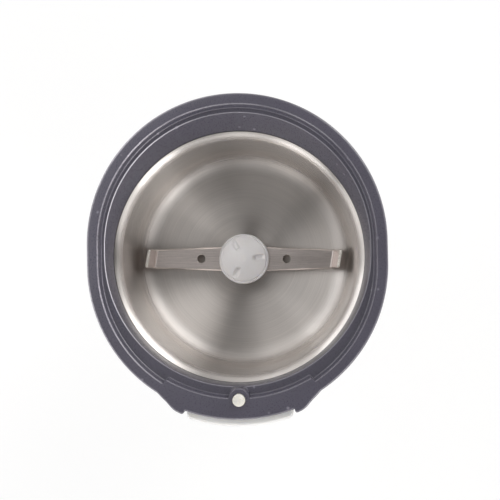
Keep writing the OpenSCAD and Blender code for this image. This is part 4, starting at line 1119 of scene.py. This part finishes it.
def make_floor():
    """A pale sheet, which the camera sees as white where no shadow falls."""
    reach = 4.0
    mesh = bpy.data.meshes.new("floor")
    mesh.from_pydata([(reach * x, reach * y, 0.0) for x, y in ((-1, -1), (1, -1), (1, 1), (-1, 1))],
                     [], [(0, 1, 2, 3)])
    made = bpy.data.materials.new("Pale floor")
    tree = empty_tree(made)
    path = add(tree, "ShaderNodeLightPath").outputs
    seen = calc(tree, "MAXIMUM", calc(tree, "MAXIMUM", path["Is Camera Ray"], path["Is Glossy Ray"]),
                path["Is Transmission Ray"])
    pale = mixed(tree, path["Is Camera Ray"], (0.56, 0.56, 0.56), (0.97, 0.97, 0.97))
    diffuse = add(tree, "ShaderNodeBsdfDiffuse", {"Color": pale}).outputs[0]
    glow = add(tree, "ShaderNodeEmission", {"Color": (1, 1, 1), "Strength": 1.03}).outputs[0]
    both = add(tree, "ShaderNodeMixShader", {0: times(tree, seen, 0.78), 1: diffuse, 2: glow}).outputs[0]
    add(tree, "ShaderNodeOutputMaterial", {0: both})
    mesh.materials.append(made)
    new_object("floor", mesh)


def make_room(strength):
    """White to the camera; to the object a pale room whose ceiling is darker than its walls."""
    world = bpy.data.worlds.new("Room")
    bpy.context.scene.world = world
    tree = empty_tree(world)
    way = add(tree, "ShaderNodeTexCoord").outputs["Generated"]
    level = spread(tree, split(tree, way)[2], 0.12, 0.55, HORIZON, ZENITH)
    for turn, lift, size, bright in WINDOWS:
        a, b = math.radians(turn), math.radians(lift)
        near = dot(tree, way, (math.cos(b) * math.cos(a), math.cos(b) * math.sin(a), math.sin(b)))
        edge, core = (math.cos(math.radians(size * part)) for part in (1.5, 0.6))
        soft = add(tree, "ShaderNodeMapRange", {"Value": near, "From Min": edge, "From Max": core},
                   interpolation_type="SMOOTHSTEP").outputs[0]
        level = plus(tree, level, times(tree, bright, soft))
    level = times(tree, level, strength)
    lit = add(tree, "ShaderNodeBackground", {"Color": (1.0, 0.985, 0.97), "Strength": level})
    plain = add(tree, "ShaderNodeBackground", {"Color": (1, 1, 1), "Strength": 1.0})
    seen = add(tree, "ShaderNodeLightPath").outputs["Is Camera Ray"]
    both = add(tree, "ShaderNodeMixShader", {0: seen, 1: lit.outputs[0], 2: plain.outputs[0]}).outputs[0]
    add(tree, "ShaderNodeOutputWorld", {0: both})


def make_lamp(name, kind, at, aim, **settings):
    """A lamp that points at its aim."""
    light = bpy.data.lights.new(name, kind)
    for key, value in settings.items():
        setattr(light, key, value)
    obj = new_object(name, light)
    obj.location = at
    obj.rotation_mode = "QUATERNION"
    obj.rotation_quaternion = (Vector(aim) - Vector(at)).to_track_quat("-Z", "Y")
    return obj


def make_camera(s):
    """Looks down on the open grinder, with the front at the bottom of the picture."""
    camera = bpy.data.cameras.new("camera")
    camera.lens, camera.sensor_width = s.lens, 36.0
    camera.clip_start, camera.clip_end = 0.01, 20.0
    camera.dof.use_dof = False
    back = (Vector(s.eye) - Vector(s.aim)).normalized()
    right = Vector((0, 1, 0)).cross(back).normalized()
    turn = Matrix((right, back.cross(right), back)).transposed() @ Matrix.Rotation(-s.roll, 3, "Z")
    obj = new_object("camera", camera)
    obj.matrix_world = Matrix.Translation(Vector(s.eye)) @ turn.to_4x4()
    bpy.context.scene.camera = obj


class GRINDER_OT_stage(bpy.types.Operator):
    """Set the floor, the lamps, the room's light and the camera"""
    bl_idname = "grinder.stage"
    bl_label = "Studio"

    def execute(self, context):
        s = context.scene.grinder.stage
        make_floor()
        make_room(s.sky)
        make_lamp("key_lamp", "AREA", (-0.62, 0.34, 0.62), (0, 0, 0.13), energy=s.key, shape="RECTANGLE",
                  size=0.5, size_y=0.5)
        # A narrow soft lamp on the hub cap from the left, kept out of reflections
        make_lamp("cap_lamp", "SPOT", (-0.616, 0.287, 0.83), (-0.004, 0.005, 0.1), energy=s.cap,
                  shadow_soft_size=0.03, spot_size=math.radians(1.6), spot_blend=1.0).visible_glossy = False
        make_camera(s)
        context.scene.view_settings.view_transform = "Standard"
        return {"FINISHED"}


# ---- Add-on ----

STEPS = [GRINDER_OT_rim, GRINDER_OT_bowl, GRINDER_OT_blade, GRINDER_OT_hub_cap, GRINDER_OT_pin,
         GRINDER_OT_button, GRINDER_OT_springs, GRINDER_OT_body_finishes, GRINDER_OT_motor_finishes,
         GRINDER_OT_switch_finishes, GRINDER_OT_stage]


class GRINDER_PT_panel(bpy.types.Panel):
    """Sidebar panel of the grinder."""
    bl_idname = "GRINDER_PT_panel"
    bl_label = "Spice grinder"
    bl_space_type = "VIEW_3D"
    bl_region_type = "UI"
    bl_category = "Grinder"

    def draw(self, context):
        settings = context.scene.grinder
        for step in STEPS:
            self.layout.operator(step.bl_idname, text=step.bl_label)
        for part in settings.__annotations__:
            box = self.layout.box()
            box.label(text=part.capitalize())
            for key in getattr(settings, part).__annotations__:
                box.prop(getattr(settings, part), key)


CLASSES = [RimSizes, BowlSizes, BladeSizes, ButtonSizes, Colours, StageSettings, GrinderSettings, *STEPS,
           GRINDER_PT_panel]


def register():
    """Makes the classes and the settings known to Blender."""
    for cls in CLASSES:
        bpy.utils.register_class(cls)
    bpy.types.Scene.grinder = PointerProperty(type=GrinderSettings)


def unregister():
    """Takes the classes and the settings away again."""
    del bpy.types.Scene.grinder
    for cls in reversed(CLASSES):
        bpy.utils.unregister_class(cls)


def main():
    """Builds the whole grinder and its studio."""
    register()
    for step in STEPS:
        group, name = step.bl_idname.split(".")
        getattr(getattr(bpy.ops, group), name)()


if __name__ == "__main__":
    main()
